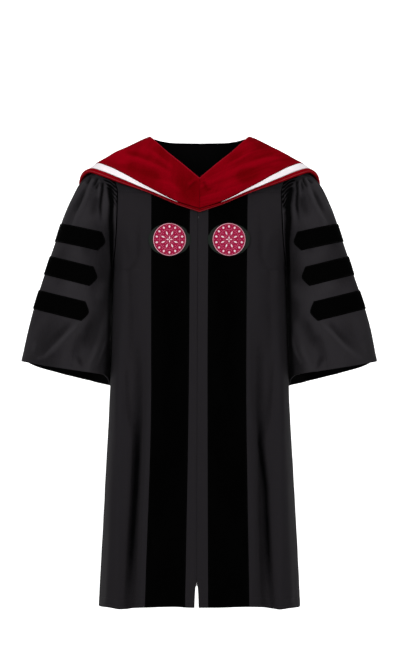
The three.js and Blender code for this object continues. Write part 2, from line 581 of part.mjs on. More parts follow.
// A round or oval disc on a front's panel: a net of square cells drawn into a circle.
function discNet(badge, halfWidth, halfHeight, clearance) {
  const cells = steps(-1, 1, DISC_CELLS);
  const placeAt = (a, b) => {
    const section = sectionAt(BADGE.z + halfHeight * b * Math.sqrt(1 - (a * a) / 2), "front");
    const point = atX(section, badge.x + halfWidth * a * Math.sqrt(1 - (b * b) / 2));
    return { point, normal: levelNormal(section, point) };
  };
  const places = cells.map((b) => cells.map((a) => placeAt(a, b)));
  const points = places.map((row) => row.map((place) => place.point));
  const normals = places.map((row) => row.map((place) => place.normal));
  return lifted({ points, normals }, clearance);
}

const gown = new THREE.Group();

for (const side of SIDES) {
  const columns = stepsThrough([0, 1, 2, 3], [FRONT_COLUMNS.placket, FRONT_COLUMNS.panel, FRONT_COLUMNS.side]);
  const front = cut(frontSurface(side), columns, bodyRows(FRONT_ROWS, SLIT_ROWS), BODY_CORE, holdYokeSeam);
  const panel = columnsOf(front, FRONT_COLUMNS.placket, FRONT_COLUMNS.placket + FRONT_COLUMNS.panel);
  gown.add(wall(`front_${side.name}`, front, CLOTH, GOWN_FINISH));
  gown.add(wall(`panel_${side.name}`, lifted(panel, LAID_GAP + VELVET), VELVET, VELVET_FINISH));
  gown.add(...sleevePieces(side));
  gown.add(...BARS.map((bar, i) => sleeveBar(side, bar, i === 0 ? 1 : 2)));
}

const backNet = cut(backSurface, steps(0, 1, BACK_PLEATS.count * 2), bodyRows(BACK_ROWS), BODY_CORE, holdYokeSeam);
gown.add(wall("back", backNet, CLOTH, GOWN_FINISH));

const yokeRun = [YOKE_COLUMNS.front, YOKE_COLUMNS.armhole, YOKE_COLUMNS.back];
const yokePlaces = stepsThrough([-3, -2, -1, 0, 1, 2, 3], [...yokeRun, ...yokeRun.toReversed()]);
const yokeNet = cut(yokeSurface, yokePlaces, steps(0, 1, YOKE_ROWS), BODY_CORE, holdYokeEdge);
gown.add(wall("yoke", yokeNet, CLOTH, GOWN_FINISH));

const velvetEnd = (place) => hoodRead(place, "velvet");
const liningEnd = (place) => hoodRead(place, "lining");
const past = (edge) => (place) => edge(place) + HOOD_SEAM_SHARE;
gown.add(hoodBand("hood_velvet", 0, () => 0, velvetEnd, HOOD_ROWS.velvet, HOOD_FINISH));
gown.add(hoodBand("hood_lining", LINING_START, past(velvetEnd), liningEnd, HOOD_ROWS.lining, LINING_FINISH));
gown.add(hoodBand("hood_rim", 0, past(liningEnd), () => 1, HOOD_ROWS.rim, RIM_FINISH));

for (const badge of BADGES) {
  const onPanel = LAID_GAP + VELVET + SEAM_GAP + PATCH_CLOTH;
  const onPatch = onPanel + SEAM_GAP + BADGE_CLOTH;
  const patch = discNet(badge, BADGE.patchHalfWidth, BADGE.patchHalfHeight, onPanel);
  const disc = discNet(badge, BADGE.radius, BADGE.radius, onPatch);
  gown.add(wall(`patch_${badge.side}`, patch, PATCH_CLOTH, PATCH_FINISH));
  gown.add(wall(`badge_${badge.side}`, disc, BADGE_CLOTH, BADGE_FINISH));
}

export default gown;
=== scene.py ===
"""Looks of a doctoral graduation gown with its velvet hood, hollow as it hangs on a standing wearer.

Lengths inside this file are millimetres in the part's own frame (+X the viewer's right, -Y the
front, +Z up), and become metres when a mesh is made. Each piece of cloth is a thin shell on its
solid's form, with the folds, gathers, seams and stitches that the solid leaves out.
"""

import logging
import math
from collections.abc import Callable, Sequence
from dataclasses import dataclass, field
from enum import Enum

import bpy
import numpy as np
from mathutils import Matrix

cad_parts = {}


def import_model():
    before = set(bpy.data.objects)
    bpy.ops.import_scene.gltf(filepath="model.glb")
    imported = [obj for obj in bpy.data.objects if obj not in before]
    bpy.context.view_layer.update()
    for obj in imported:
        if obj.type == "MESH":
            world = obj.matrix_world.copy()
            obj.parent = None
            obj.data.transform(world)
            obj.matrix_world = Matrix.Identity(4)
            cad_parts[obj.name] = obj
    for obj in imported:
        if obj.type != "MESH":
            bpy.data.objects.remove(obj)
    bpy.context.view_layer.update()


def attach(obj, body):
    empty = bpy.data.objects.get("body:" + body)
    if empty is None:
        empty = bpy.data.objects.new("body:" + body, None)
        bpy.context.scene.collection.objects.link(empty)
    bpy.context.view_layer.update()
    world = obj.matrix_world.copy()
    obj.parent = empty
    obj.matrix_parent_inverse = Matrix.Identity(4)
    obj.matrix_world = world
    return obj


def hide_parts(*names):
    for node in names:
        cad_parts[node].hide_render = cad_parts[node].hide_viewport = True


LOG = logging.getLogger("gown")
Array = np.ndarray
Object = bpy.types.Object
MM = 0.001
TURN = 2 * math.pi

# Cloth


class Placed(Enum):
    """A half of the garment, whose value is the sign of the axis that it lies on."""

    @property
    def word(self) -> str:
        """Its name as tables and pieces have it."""
        return self.name.lower()


class Side(Placed):
    """The wearer's side: its sign is that of X."""

    RIGHT = -1
    LEFT = 1


class Half(Placed):
    """The front or back half of the body: its sign is that of Y."""

    FRONT = -1
    BACK = 1


SEAM_GAP = 0.4
ARMHOLE_GAP = 0.9
HEM_Z = -1203.0
HEM_RISE = {Half.FRONT: 15.0, Half.BACK: 35.0}
YOKE_SEAM_Z = -132.0
ARMHOLE_Z, ARMHOLE_HALF_HEIGHT, ARMHOLE_HALF_DEPTH = -195.0, 137.0, 92.0
UNDERARM_Z = ARMHOLE_Z - ARMHOLE_HALF_HEIGHT
BODY_CORE = (0.0, 0.0, -500.0)


def smooth(value: Array | float, low: float, high: float) -> Array:
    """An even step from 0 at low to 1 at high, which may be the smaller of the two."""
    t = np.clip((value - low) / (high - low), 0, 1)
    return t * t * (3 - 2 * t)


def mix(a: Array, b: Array, t: Array) -> Array:
    """The value a share t of the way from a to b."""
    return a + (b - a) * t


def signed_power(value: Array, power: Array) -> Array:
    """A power of the size of a value, with the value's own sign."""
    return np.sign(value) * np.abs(value) ** power


def unit(vectors: Array) -> Array:
    """Vectors made one long."""
    return vectors / np.maximum(np.linalg.norm(vectors, axis=-1, keepdims=True), 1e-9)


def run_along(path: Array) -> Array:
    """The length from the start of a path of points up to each of them."""
    return np.concatenate([[0], np.cumsum(np.linalg.norm(np.diff(path, axis=0), axis=1))])


def bell(value: Array, middle: float, width: float) -> Array:
    """A hump that is 1 at its middle and has mostly gone a width away."""
    return np.exp(-(((value - middle) / width) ** 2))


def spaced(stops: Sequence[float], counts: Sequence[int]) -> Array:
    """Places through several stops, with a count of equal steps between each pair.

    Args:
        stops: the places where the spacing changes.
        counts: the steps between each pair of stops.

    Returns:
        All the places in order.
    """
    runs = [np.linspace(a, b, n + 1)[1:] for a, b, n in zip(stops, stops[1:], counts)]
    return np.concatenate([[stops[0]], *runs])


@dataclass(frozen=True)
class Table:
    """Rows of sizes with named columns, read along the first one on a smooth curve.

    Attributes:
        columns: the columns' names, the first being the key.
        rows: the values, in rising order of the key.
    """

    columns: tuple[str, ...]
    rows: tuple[tuple[float, ...], ...]

    def read(self, column: str, at: Array | float) -> Array:
        """Reads a column between the rows, level at each peak so that it never overshoots.

        Args:
            column: the column's name.
            at: places along the key.

        Returns:
            The values there, in the shape of `at`.
        """
        data = np.array(self.rows, float)
        keys, values = data[:, 0], data[:, self.columns.index(column)]
        chords = np.diff(values) / np.diff(keys)
        slopes = np.concatenate([chords[:1], np.zeros(len(keys) - 2), chords[-1:]])
        before, after = chords[:-1], chords[1:]
        rising = before * after > 0
        total = np.where(rising, before + after, 1)
        slopes[1:-1] = np.where(rising, 2 * before * after / total, 0)
        place = np.clip(at, keys[0], keys[-1])
        i = np.clip(np.searchsorted(keys, place, side="left") - 1, 0, len(keys) - 2)
        span = keys[i + 1] - keys[i]
        t = (place - keys[i]) / span
        lean = (1 - t) * slopes[i] - t * slopes[i + 1]
        return mix(values[i], values[i + 1], t * t * (3 - 2 * t)) + span * t * (1 - t) * lean


BODY = Table(
    ("z", "side", "front", "back", "square"),
    (
        (-1209, 262, 184, 190, 2.6),
        (-900, 245, 164, 172, 2.8),
        (-620, 230, 147, 152, 3),
        (-332, 223, 128, 132, 3.2),
        (-280, 217, 124, 128, 3.2),
        (-220, 212.5, 119, 123, 3.2),
        (-132, 210, 112, 116, 3.2),
        (-110, 215, 112, 116, 3.2),
        (-80, 230, 112, 116, 3.2),
        (-58, 245, 112, 116, 3.2),
    ),
)
FRONT_EDGES = Table(
    ("z", "opening", "right_in", "right_out", "left_in", "left_out"),
    (
        (-1203, -7.4, 36.6, 138, 22, 126),
        (-616, -5.8, 27.2, 123, 20.5, 119),
        (-132, -3.6, 24.3, 123, 23.3, 123),
    ),
)
YOKE = Table(
    ("q", "neck_x", "neck_y", "neck_z", "rise"),
    (
        (0, 0.2, -113, -112, 0),
        (0.35, 34, -106, -90, 1),
        (0.7, 72, -82, -52, 3),
        (1, 102, -54, -17, 5),
        (1.3, 117, -22, 5, 4),
        (1.5, 120, 8, 12, 4),
        (1.7, 116, 34, 13, 4),
        (2, 102, 60, 10, 3),
        (2.4, 64, 79, 6, 2),
        (3, 0, 89, 5.5, 2),
    ),
)
SLEEVE = Table(
    ("v", "out_x", "out_z", "in_z", "clear", "half_depth", "square"),
    (
        (0, 245.9, -58, -332, 0.9, 92, 2),
        (0.06, 268, -66.5, -345, 1.6, 97, 2),
        (0.12, 290, -82.6, -358, 3, 101, 2.1),
        (0.17, 302, -95.6, -369, 3.4, 104, 2.1),
        (0.23, 315, -112, -382, 3.7, 106, 2.1),
        (0.3, 329, -140, -398, 4, 108, 2.2),
        (0.4, 351, -190, -423, 4, 110, 2.2),
        (0.56, 382, -278, -465, 4, 112, 2.2),
        (0.7, 408, -356, -508, 4, 114, 2.3),
        (0.84, 433, -440, -552, 4, 117, 2.3),
        (1, 459, -567, -602, 4, 120, 2.3),
    ),
)
HOOD = Table(
    ("q", "neck_x", "neck_y", "neck_z", "out_x", "out_y", "out_z", "swell", "velvet", "lining"),
    (
        (0, 0.02, -121, -98, 0.02, -120, -185, 4, 0.893, 0.9),
        (1, 41, -112, -63, 57, -120.5, -166, 3.5, 0.925, 0.938),
        (2, 84, -82, -27, 137.5, -114, -132.5, 6, 0.89, 0.955),
        (3, 114, -48, 2, 202, -92, -110, 8.5, 0.83, 0.934),
        (4, 125, -20, 13, 259, -64, -87.5, 7.5, 0.807, 0.928),
        (4.5, 127.5, -3, 15, 285, -34, -79.5, 9, 0.81, 0.934),
        (5, 127, 14, 14, 306.5, 0, -92, 13, 0.79, 0.935),
        (5.5, 125.5, 34, 12, 313, 38, -110, 17, 0.765, 0.915),
        (6, 119, 53, 9, 305, 78, -130, 17.5, 0.73, 0.89),
        (7, 86, 82, 4, 232, 116, -190, 17, 0.68, 0.86),
        (8, 46, 96, 0, 120, 136, -250, 14, 0.63, 0.84),
        (9, 0, 101, -1, 0, 141, -285, 10, 0.6, 0.83),
    ),
)

# Folds


@dataclass(frozen=True)
class Fold:
    """One soft ridge or trough of the cloth, drawn as it is seen from the front or behind.

    Attributes:
        path: the points (across, up) that it runs through.
        rise: how far it stands out, or less than 0 how far it draws in.
        width: how wide it is from its middle to where it has mostly gone.
        start: the share of its rise that it has at its first point.
        end: the share of its rise that it has at its last point.
    """

    path: tuple[tuple[float, float], ...]
    rise: float
    width: float
    start: float = 0.0
    end: float = 0.0

    def at(self, across: Array, up: Array) -> Array:
        """The height of the fold at places seen from the front.

        Args:
            across: how far each place is to the right.
            up: how high each place is.

        Returns:
            The height at each place.
        """
        points = np.array(self.path, float)
        reach = run_along(points)
        best = np.full(across.shape, 1e9)
        place = np.zeros(across.shape)
        for a, b, begin in zip(points, points[1:], reach):
            run = b - a
            size = float(run @ run)
            t = np.clip(((across - a[0]) * run[0] + (up - a[1]) * run[1]) / size, 0, 1)
            gap = np.hypot(across - a[0] - t * run[0], up - a[1] - t * run[1])
            nearer = gap < best
            place = np.where(nearer, begin + t * math.sqrt(size), place)
            best = np.where(nearer, gap, best)
        share = place / reach[-1]
        taper = mix(self.start, 1, smooth(share, 0, 0.3)) * mix(self.end, 1, smooth(share, 1, 0.6))
        return self.rise * taper * bell(best, 0, self.width)

    def mirrored(self, slack: float, seed: int) -> "Fold":
        """The like fold of the other side, a little different.

        Args:
            slack: how far its points may lie from the mirror's.
            seed: which of many such differences to take.

        Returns:
            The fold of the other side.
        """
        rng = np.random.default_rng(seed)
        path = tuple((-x + rng.uniform(-slack, slack), z + rng.uniform(-slack, slack)) for x, z in self.path)
        rise = self.rise * rng.uniform(0.8, 1.15)
        return Fold(path, rise, self.width * rng.uniform(0.9, 1.15), self.start, self.end)


CAMERA_DISTANCE = 6500.0
CAMERA_X, CAMERA_Z = 2.6, -474.5


def seen(points: Array) -> tuple[Array, Array]:
    """Where points appear on the plane of the shoulders, looked at from the camera."""
    far = CAMERA_DISTANCE / (CAMERA_DISTANCE + points[..., 1])
    return CAMERA_X + (points[..., 0] - CAMERA_X) * far, CAMERA_Z + (points[..., 2] - CAMERA_Z) * far


def folds_at(points: Array, folds: Sequence[Fold], half: Half) -> Array:
    """The sum of the folds at points, for those that belong to the front or the back.

    Args:
        points: points of a cloth.
        folds: the folds.
        half: the half of the garment that the folds are on.

    Returns:
        How far each point moves out.
    """
    across, up = seen(points)
    facing = smooth(half.value * points[..., 1], 10, 50)
    total = np.zeros(across.shape)
    for fold in folds:
        total += fold.at(across, up)
    return total * facing


def rumple(points: Array, size: float, height: float, seed: int) -> Array:
    """The gentle unevenness of hanging cloth, as a sum of slow waves.

    Args:
        points: points of a cloth.
        size: about how long the waves are.
        height: about how high they are.
        seed: which of many such patterns to take.

    Returns:
        How far each point moves out.
    """
    rng = np.random.default_rng(seed)
    total = np.zeros(points.shape[:-1])
    for _ in range(7):
        heading = rng.normal(size=3) * np.array([1.0, 1.0, 0.45])
        heading *= TURN / (size * rng.uniform(0.7, 1.6) * np.linalg.norm(heading))
        total += np.sin(points @ heading + rng.uniform(0, TURN))
    return total * height / 3


# Nets and shells

CLOTH_MAP, FOLD_SHADING, FLUTED = "cloth", "relief", "fluted"
# How many columns a crease is measured across, the crease depth at which troughs get the darkest painted
# shade and ridges the brightest painted highlight, and the power by which it grows towards that.
RELIEF_REACH, FULL_SHADE_DEPTH, SHADE_POWER = 9, 8.5, 0.6
SHARP_ANGLE = math.radians(55)


def outward(points: Array, core: Sequence[float]) -> Array:
    """The unit normals of a net of points, facing away from a core point.

    Args:
        points: rows x columns x 3.
        core: a point inside the garment.

    Returns:
        The normals, rows x columns x 3.
    """
    around = np.gradient(points, axis=1)
    along = np.gradient(points, axis=0)
    normals = unit(np.cross(around, along))
    facing = np.einsum("ijk,ijk->", points - np.array(core), normals)
    return normals * (1 if facing > 0 else -1)


def lengths(points: Array, axis: int) -> Array:
    """The length run along each row or column of a net up to each point.

    Args:
        points: rows x columns x 3.
        axis: 0 to run down the columns, 1 to run along the rows.

    Returns:
        The lengths, rows x columns.
    """
    steps = np.linalg.norm(np.diff(points, axis=axis), axis=2)
    first = np.zeros_like(np.take(steps, [0], axis=axis))
    return np.concatenate([first, np.cumsum(steps, axis=axis)], axis=axis)


class Edge(Enum):
    """An edge of a net: its first or last row or column."""

    FIRST_ROW = (0, False)
    LAST_ROW = (0, True)
    FIRST_COLUMN = (1, False)
    LAST_COLUMN = (1, True)

    def distance(self, points: Array) -> Array:
        """How far each point of a net is from this edge."""
        axis, last = self.value
        run = lengths(points, axis)
        return np.take(run, [-1], axis=axis) - run if last else run


SIDE_EDGES = (Edge.FIRST_COLUMN, Edge.LAST_COLUMN)
SEWN_EDGES = (*SIDE_EDGES, Edge.LAST_ROW)
END_EDGES = (Edge.FIRST_ROW, Edge.LAST_ROW)


@dataclass
class Cloth:
    """A net of points on a cloth's outer face.

    Attributes:
        points: rows x columns x 3.
        normals: the outward normals of the smooth form.
    """

    points: Array
    normals: Array

    @classmethod
    def of(cls, points: Array, core: Sequence[float] = BODY_CORE) -> "Cloth":
        """Makes a cloth of a net of points, its outer face away from a core point."""
        return cls(points, outward(points, core))

    def lifted(self, height: Array | float) -> "Cloth":
        """The cloth with each point moved out."""
        move = np.broadcast_to(np.asarray(height, float), self.points.shape[:2])
        return Cloth(self.points + self.normals * move[..., None], self.normals)

    def rolled(self, edges: Sequence[Edge], depth: float, width: float) -> "Cloth":
        """The cloth with edges that curve inwards, as where they are sewn or turned under.

        Args:
            edges: which edges curve.
            depth: how far in they lie.
            width: how far from the edge the curve starts.

        Returns:
            The cloth with its rolled edges.
        """
        height = np.zeros(self.points.shape[:2])
        for edge in edges:
            near = np.clip(1 - edge.distance(self.points) / width, 0, 1)
            height = np.minimum(height, -depth * (1 - np.sqrt(1 - near**2)))
        return self.lifted(height)

    def turned(self, core: Sequence[float] = BODY_CORE) -> "Cloth":
        """The same points with the normals of the folded form."""
        return Cloth.of(self.points, core)

    def relief(self, reach: int) -> Array:
        """How far each point stands out from the average of its neighbours.

        Args:
            reach: how many columns away a neighbour counts.

        Returns:
            The height in millimetres.
        """
        weights = np.exp(-(np.linspace(-2, 2, 4 * reach + 1) ** 2) / 2)
        weights /= weights.sum()
        pad = 2 * reach
        wide = np.pad(self.points, ((0, 0), (pad, pad), (0, 0)), mode="reflect", reflect_type="odd")
        even = sum(w * wide[:, k : k + self.points.shape[1]] for k, w in enumerate(weights))
        return np.einsum("ijk,ijk->ij", self.points - even, self.normals)


@dataclass
class Shell:
    """A closed thin mesh between an outer net and an inner one.

    Attributes:
        cloth: the outer face.
        thickness: how thick the cloth is, for all of it or for each point.
        creases: how far each point stands out in its folds, which sets its painted shade and highlight, or
            None to work it out along the rows.
        fluted: how far each point lies in the fine flutes of a gathered edge, from 0 to 1.
    """

    cloth: Cloth
    thickness: Array | float
    creases: Array | None = None
    fluted: Array | None = None

    def faces(self) -> tuple[Array, int]:
        """The quads of the shell.

        Returns:
            The quads' corners, and how many of them are on the outer face.
        """
        rows, columns = self.cloth.points.shape[:2]
        index = np.arange(rows * columns).reshape(rows, columns)
        inner = index + rows * columns
        corners = (index[:-1, :-1], index[:-1, 1:], index[1:, 1:], index[1:, :-1])
        outer_quads = np.stack(corners, -1).reshape(-1, 4)
        inner_quads = outer_quads[:, ::-1] + rows * columns
        loops = [(net[0], net[:, -1], net[-1, ::-1], net[::-1, 0]) for net in (index, inner)]
        rims = [np.stack([b[:-1], b[1:], a[1:], a[:-1]], -1) for a, b in zip(*loops)]
        return np.concatenate([outer_quads, inner_quads, *rims]), len(outer_quads)

    def build(self, name: str, finish: "Finish", lining: "Finish | None" = None) -> Object:
        """Makes the mesh object.

        Args:
            name: the piece's name.
            finish: the finish of the outer face and the edges.
            lining: the finish of the inner face, where it differs.

        Returns:
            The object, linked to the scene.
        """
        outer = self.cloth
        inner = outer.lifted(-np.asarray(self.thickness, float)).points
        creases = outer.relief(RELIEF_REACH) if self.creases is None else self.creases
        # The folds' depth, from -1 to 1, which the finish paints as shade in the troughs and as a highlight
        # on the ridges.
        depth = np.clip(signed_power(creases / FULL_SHADE_DEPTH, SHADE_POWER), -1, 1)
        corners, count = self.faces()
        rows, columns = outer.points.shape[:2]
        middle = corners[(rows // 2) * (columns - 1) + columns // 2]
        flat = outer.points.reshape(-1, 3)
        facing = np.cross(flat[middle[1]] - flat[middle[0]], flat[middle[3]] - flat[middle[0]])
        if facing @ outer.normals.reshape(-1, 3)[middle[0]] < 0:
            corners = corners[:, ::-1]
        across, along = lengths(outer.points, 1), lengths(outer.points, 0)
        places = np.tile(np.stack([across, along], -1).reshape(-1, 2), (2, 1))
        made = mesh_object(name, np.concatenate([flat, inner.reshape(-1, 3)]), corners, places)
        mark(made, FOLD_SHADING, np.concatenate([depth.ravel(), -depth.ravel()]))
        if self.fluted is not None:
            mark(made, FLUTED, np.concatenate([self.fluted.ravel(), 0 * self.fluted.ravel()]))
        dressed(made, finish)
        if lining is not None:
            made.data.materials.append(lining.material())
            slots = np.zeros(len(corners), np.int32)
            slots[count : 2 * count] = 1
            made.data.polygons.foreach_set("material_index", slots)
        return made


def dressed(piece: Object, finish: "Finish") -> Object:
    """Gives a piece its finish."""
    piece.data.materials.append(finish.material())
    return piece


def mark(piece: Object, name: str, values: Array) -> None:
    """Gives each corner of a piece a number that its finish reads."""
    attribute = piece.data.attributes.new(name, "FLOAT", "POINT")
    attribute.data.foreach_set("value", values.astype(np.float32))


def mesh_object(name: str, points: Array, faces: Array, places: Array | None = None) -> Object:
    """Makes a smooth-shaded mesh object of points in millimetres.

    Args:
        name: the object's name.
        points: the corners.
        faces: rows of corner numbers, all of one length.
        places: where each corner lies on the flat cloth, in millimetres.

    Returns:
        The object, linked to the scene.
    """
    size = faces.shape[1]
    mesh = bpy.data.meshes.new(name)
    mesh.vertices.add(len(points))
    mesh.vertices.foreach_set("co", (points * MM).astype(np.float32).ravel())
    mesh.loops.add(faces.size)
    mesh.loops.foreach_set("vertex_index", faces.astype(np.int32).ravel())
    mesh.polygons.add(len(faces))
    mesh.polygons.foreach_set("loop_start", np.arange(0, faces.size, size, dtype=np.int32))
    mesh.update(calc_edges=True)
    mesh.shade_smooth()
    mesh.set_sharp_from_angle(angle=SHARP_ANGLE)
    if places is not None:
        layer = mesh.uv_layers.new(name=CLOTH_MAP)
        layer.uv.foreach_set("vector", (places[faces.ravel()] * MM).astype(np.float32).ravel())
    mesh.validate()
    made = bpy.data.objects.new(name, mesh)
    bpy.context.scene.collection.objects.link(made)
    return made


# Finishes

Colour = tuple[float, float, float]
Socket = bpy.types.NodeSocket
# The wave texture's own measure, for bands that slant across the cloth
FLUTE_SCALE = TURN / 10 / math.sqrt(2)


class Shader:
    """Builds the nodes of one material around a Principled shader."""

    def __init__(self, name: str) -> None:
        """Starts an empty material with its shader and output."""
        self.material = bpy.data.materials.new(name)
        self.material.use_nodes = True
        self.tree = self.material.node_tree
        self.tree.nodes.clear()
        self.surface = self.tree.nodes.new("ShaderNodeBsdfPrincipled")
        output = self.tree.nodes.new("ShaderNodeOutputMaterial")
        self.tree.links.new(self.surface.outputs["BSDF"], output.inputs["Surface"])

    def set(self, **values: float | tuple) -> None:
        """Sets sockets of the shader that are the same all over, named with _ for a space."""
        for name, value in values.items():
            self.surface.inputs[name.replace("_", " ")].default_value = value

    def node(self, kind: str, inputs: dict | None = None, **settings: object) -> bpy.types.Node:
        """Adds a node.

        Args:
            kind: the node's type, without its ShaderNode.
            inputs: socket names with their values, or the sockets that feed them.
            settings: the node's own settings.

        Returns:
            The node.
        """
        made = self.tree.nodes.new(f"ShaderNode{kind}")
        for name, value in settings.items():
            setattr(made, name, value)
        for name, value in (inputs or {}).items():
            if isinstance(value, Socket):
                self.tree.links.new(value, made.inputs[name])
            else:
                made.inputs[name].default_value = value
        return made

    def feed(self, name: str, socket: Socket) -> None:
        """Feeds a socket of the shader."""
        self.tree.links.new(socket, self.surface.inputs[name])

    def cloth_place(self, across: float, along: float) -> Socket:
        """Places on the flat cloth in metres, stretched by a factor each way."""
        flat = self.node("UVMap", uv_map=CLOTH_MAP).outputs["UV"]
        scaled = self.node("VectorMath", {0: flat, 1: (across, along, 1)}, operation="MULTIPLY")
        return scaled.outputs["Vector"]

    def relief(self, low: float, high: float) -> Socket:
        """A number that runs from low in the troughs to high on the ridges of the folds, by which the
        finishes paint shade into the troughs and a highlight onto the ridges.
        """
        found = self.node("Attribute", attribute_name=FOLD_SHADING).outputs["Fac"]
        inputs = {"Value": found, "From Min": -1, "To Min": low, "To Max": high}
        return self.node("MapRange", inputs).outputs["Result"]

    def noise(self, place: Socket, scale: float, detail: float = 2) -> Socket:
        """Noise from 0 to 1 at places."""
        made = self.node("TexNoise", {"Vector": place, "Scale": scale, "Detail": detail, "Roughness": 0.55})
        return made.outputs["Fac"]

    def ramp(self, share: Socket, stops: Sequence[tuple[float, Colour]]) -> Socket:
        """A colour that runs through several, by a share from 0 to 1."""
        made = self.node("ValToRGB", {"Fac": share})
        while len(made.color_ramp.elements) < len(stops):
            made.color_ramp.elements.new(0.5)
        for element, (place, colour) in zip(made.color_ramp.elements, stops):
            element.position = place
            element.color = (*colour, 1)
        return made.outputs["Color"]

    def blend(self, share: Socket, low: Colour, high: Colour) -> Socket:
        """A colour between two, by a share that is stretched to use both."""
        return self.ramp(share, ((0.32, low), (0.68, high)))

    def span(self, share: Socket, low: float, high: float) -> Socket:
        """A number between two, by a share."""
        made = self.node("MapRange", {"Value": share, "To Min": low, "To Max": high})
        return made.outputs["Result"]

    def sum(self, *shares: Socket) -> Socket:
        """The sum of several numbers."""
        total = shares[0]
        for share in shares[1:]:
            total = self.node("Math", {0: total, 1: share}, operation="ADD").outputs["Value"]
        return total

    def bump(self, height: Socket, distance: float, strength: float) -> None:
        """Roughens the surface by a height from 0 to 1, over a distance in metres."""
        made = self.node("Bump", {"Height": height, "Distance": distance, "Strength": strength})
        self.feed("Normal", made.outputs["Normal"])


@dataclass(frozen=True)
class Finish:
    """What a piece is made of. Each kind of cloth makes its own nodes.

    Attributes:
        name: the material's name.
        slot: the record's material slot; not used.
        colour: the cloth's own colour; the velvets also reach it on the ridges of their folds as a painted
            highlight.
        shade: its darkest colour: painted shade deep in the folds for the woven cloths, painted shade in the
            folds together with the dark strokes of the nap for the velvets, and the dark end of the random
            unevenness for the others.
    """

    name: str
    slot: str
    colour: Colour
    shade: Colour

    def material(self) -> bpy.types.Material:
        """The material, made the first time that it is asked for."""
        found = bpy.data.materials.get(self.name)
        return found if found is not None else self.make(Shader(self.name))

    def make(self, shader: Shader) -> bpy.types.Material:
        """Makes the nodes of the cloth."""
        raise NotImplementedError


@dataclass(frozen=True)
class PlainWeave(Finish):
    """Plain-woven gown cloth: matt, with slubs both ways and a faint sheen, painted shade in the troughs of
    its folds and a painted highlight on their ridges.

    Attributes:
        roughness: how matt it is.
        sheen: how much its fibres catch the light at a slant.
        gloss: how strongly it mirrors.
        crest: its colour on the ridges of the folds, a painted highlight.
        flute: the pitch of the flutes of its gathered edge in metres, or 0 where it has none.
    """

    roughness: float = 0.75
    sheen: float = 0.01
    gloss: float = 0.02
    crest: Colour = (0.004, 0.004, 0.004)
    flute: float = 0.0

    def make(self, shader: Shader) -> bpy.types.Material:
        """Crossed streaks make the threads, a slow noise makes the cloth's unevenness, and the folds' depth
        paints shade into the troughs and a highlight onto the ridges.
        """
        shader.set(Sheen_Weight=self.sheen, Sheen_Roughness=0.45, Specular_IOR_Level=self.gloss)
        weft = shader.noise(shader.cloth_place(60, 1100), 1, 1)
        warp = shader.noise(shader.cloth_place(1100, 60), 1, 1)
        broad = shader.noise(shader.cloth_place(9, 6), 1, 3)
        threads = [shader.span(thread, -0.11, 0.11) for thread in (weft, warp)]
        lie = shader.sum(shader.relief(0, 1), *threads, shader.span(broad, -0.09, 0.09))
        height = shader.sum(weft, warp)
        if self.flute > 0:
            ribs = self.flutes(shader)
            # The grooves between the flutes are painted darker as well as bumped: painted shade.
            lie = shader.sum(lie, shader.span(ribs, 0.0, -0.7))
            height = shader.sum(height, shader.span(ribs, 0, -7))
        # Painted shade in the troughs, the cloth's own colour on the flats and a painted highlight on the
        # ridges.
        stops = ((0.02, self.shade), (0.46, self.colour), (0.98, self.crest))
        shader.feed("Base Color", shader.ramp(lie, stops))
        shader.feed("Roughness", shader.span(broad, self.roughness - 0.06, self.roughness + 0.08))
        shader.bump(height, 0.0002, 0.25)
        return shader.material

    def flutes(self, shader: Shader) -> Socket:
        """How deep each place lies between the slanting flutes of a gathered edge, from 0 to 1."""
        inputs = {"Vector": shader.cloth_place(1, 1), "Scale": FLUTE_SCALE / self.flute}
        bands = shader.node("TexWave", inputs, bands_direction="DIAGONAL")
        edge = shader.node("Attribute", attribute_name=FLUTED).outputs["Fac"]
        return shader.node("Math", {0: bands.outputs["Fac"], 1: edge}, operation="MULTIPLY").outputs["Value"]


@dataclass(frozen=True)
class Velvet(Finish):
    """Cut pile: dark where it is looked into, paler at a slant, with a nap that shifts.

    Attributes:
        sheen: how much its pile catches the light at a slant.
        tint: the colour of that light.
        streak: how close the strokes of its nap are, across and along.
        gloss: how strongly it mirrors.
    """

    sheen: float = 0.03
    tint: Colour = (1, 1, 1)
    streak: tuple[float, float] = (14, 5)
    gloss: float = 0.02

    def make(self, shader: Shader) -> bpy.types.Material:
        """Broad strokes turn the nap, a fine noise makes the pile, and the folds' depth paints shade into the
        troughs and a highlight onto the ridges.
        """
        shader.set(Sheen_Weight=self.sheen, Sheen_Roughness=0.3, Sheen_Tint=(*self.tint, 1))
        shader.set(Specular_IOR_Level=self.gloss)
        stroke = shader.noise(shader.cloth_place(*self.streak), 1, 3)
        pile = shader.noise(shader.cloth_place(700, 700), 1, 2)
        strokes = shader.sum(shader.span(stroke, 0, 0.72), shader.span(pile, 0, 0.28))
        # Painted shade and highlight: the colour darkens in the troughs of the folds and lightens on their
        # ridges.
        nap = shader.sum(strokes, shader.relief(-0.35, 0.35))
        shader.feed("Base Color", shader.blend(nap, self.shade, self.colour))
        shader.feed("Roughness", shader.span(pile, 0.85, 1.0))
        shader.bump(pile, 0.0004, 0.35)
        return shader.material


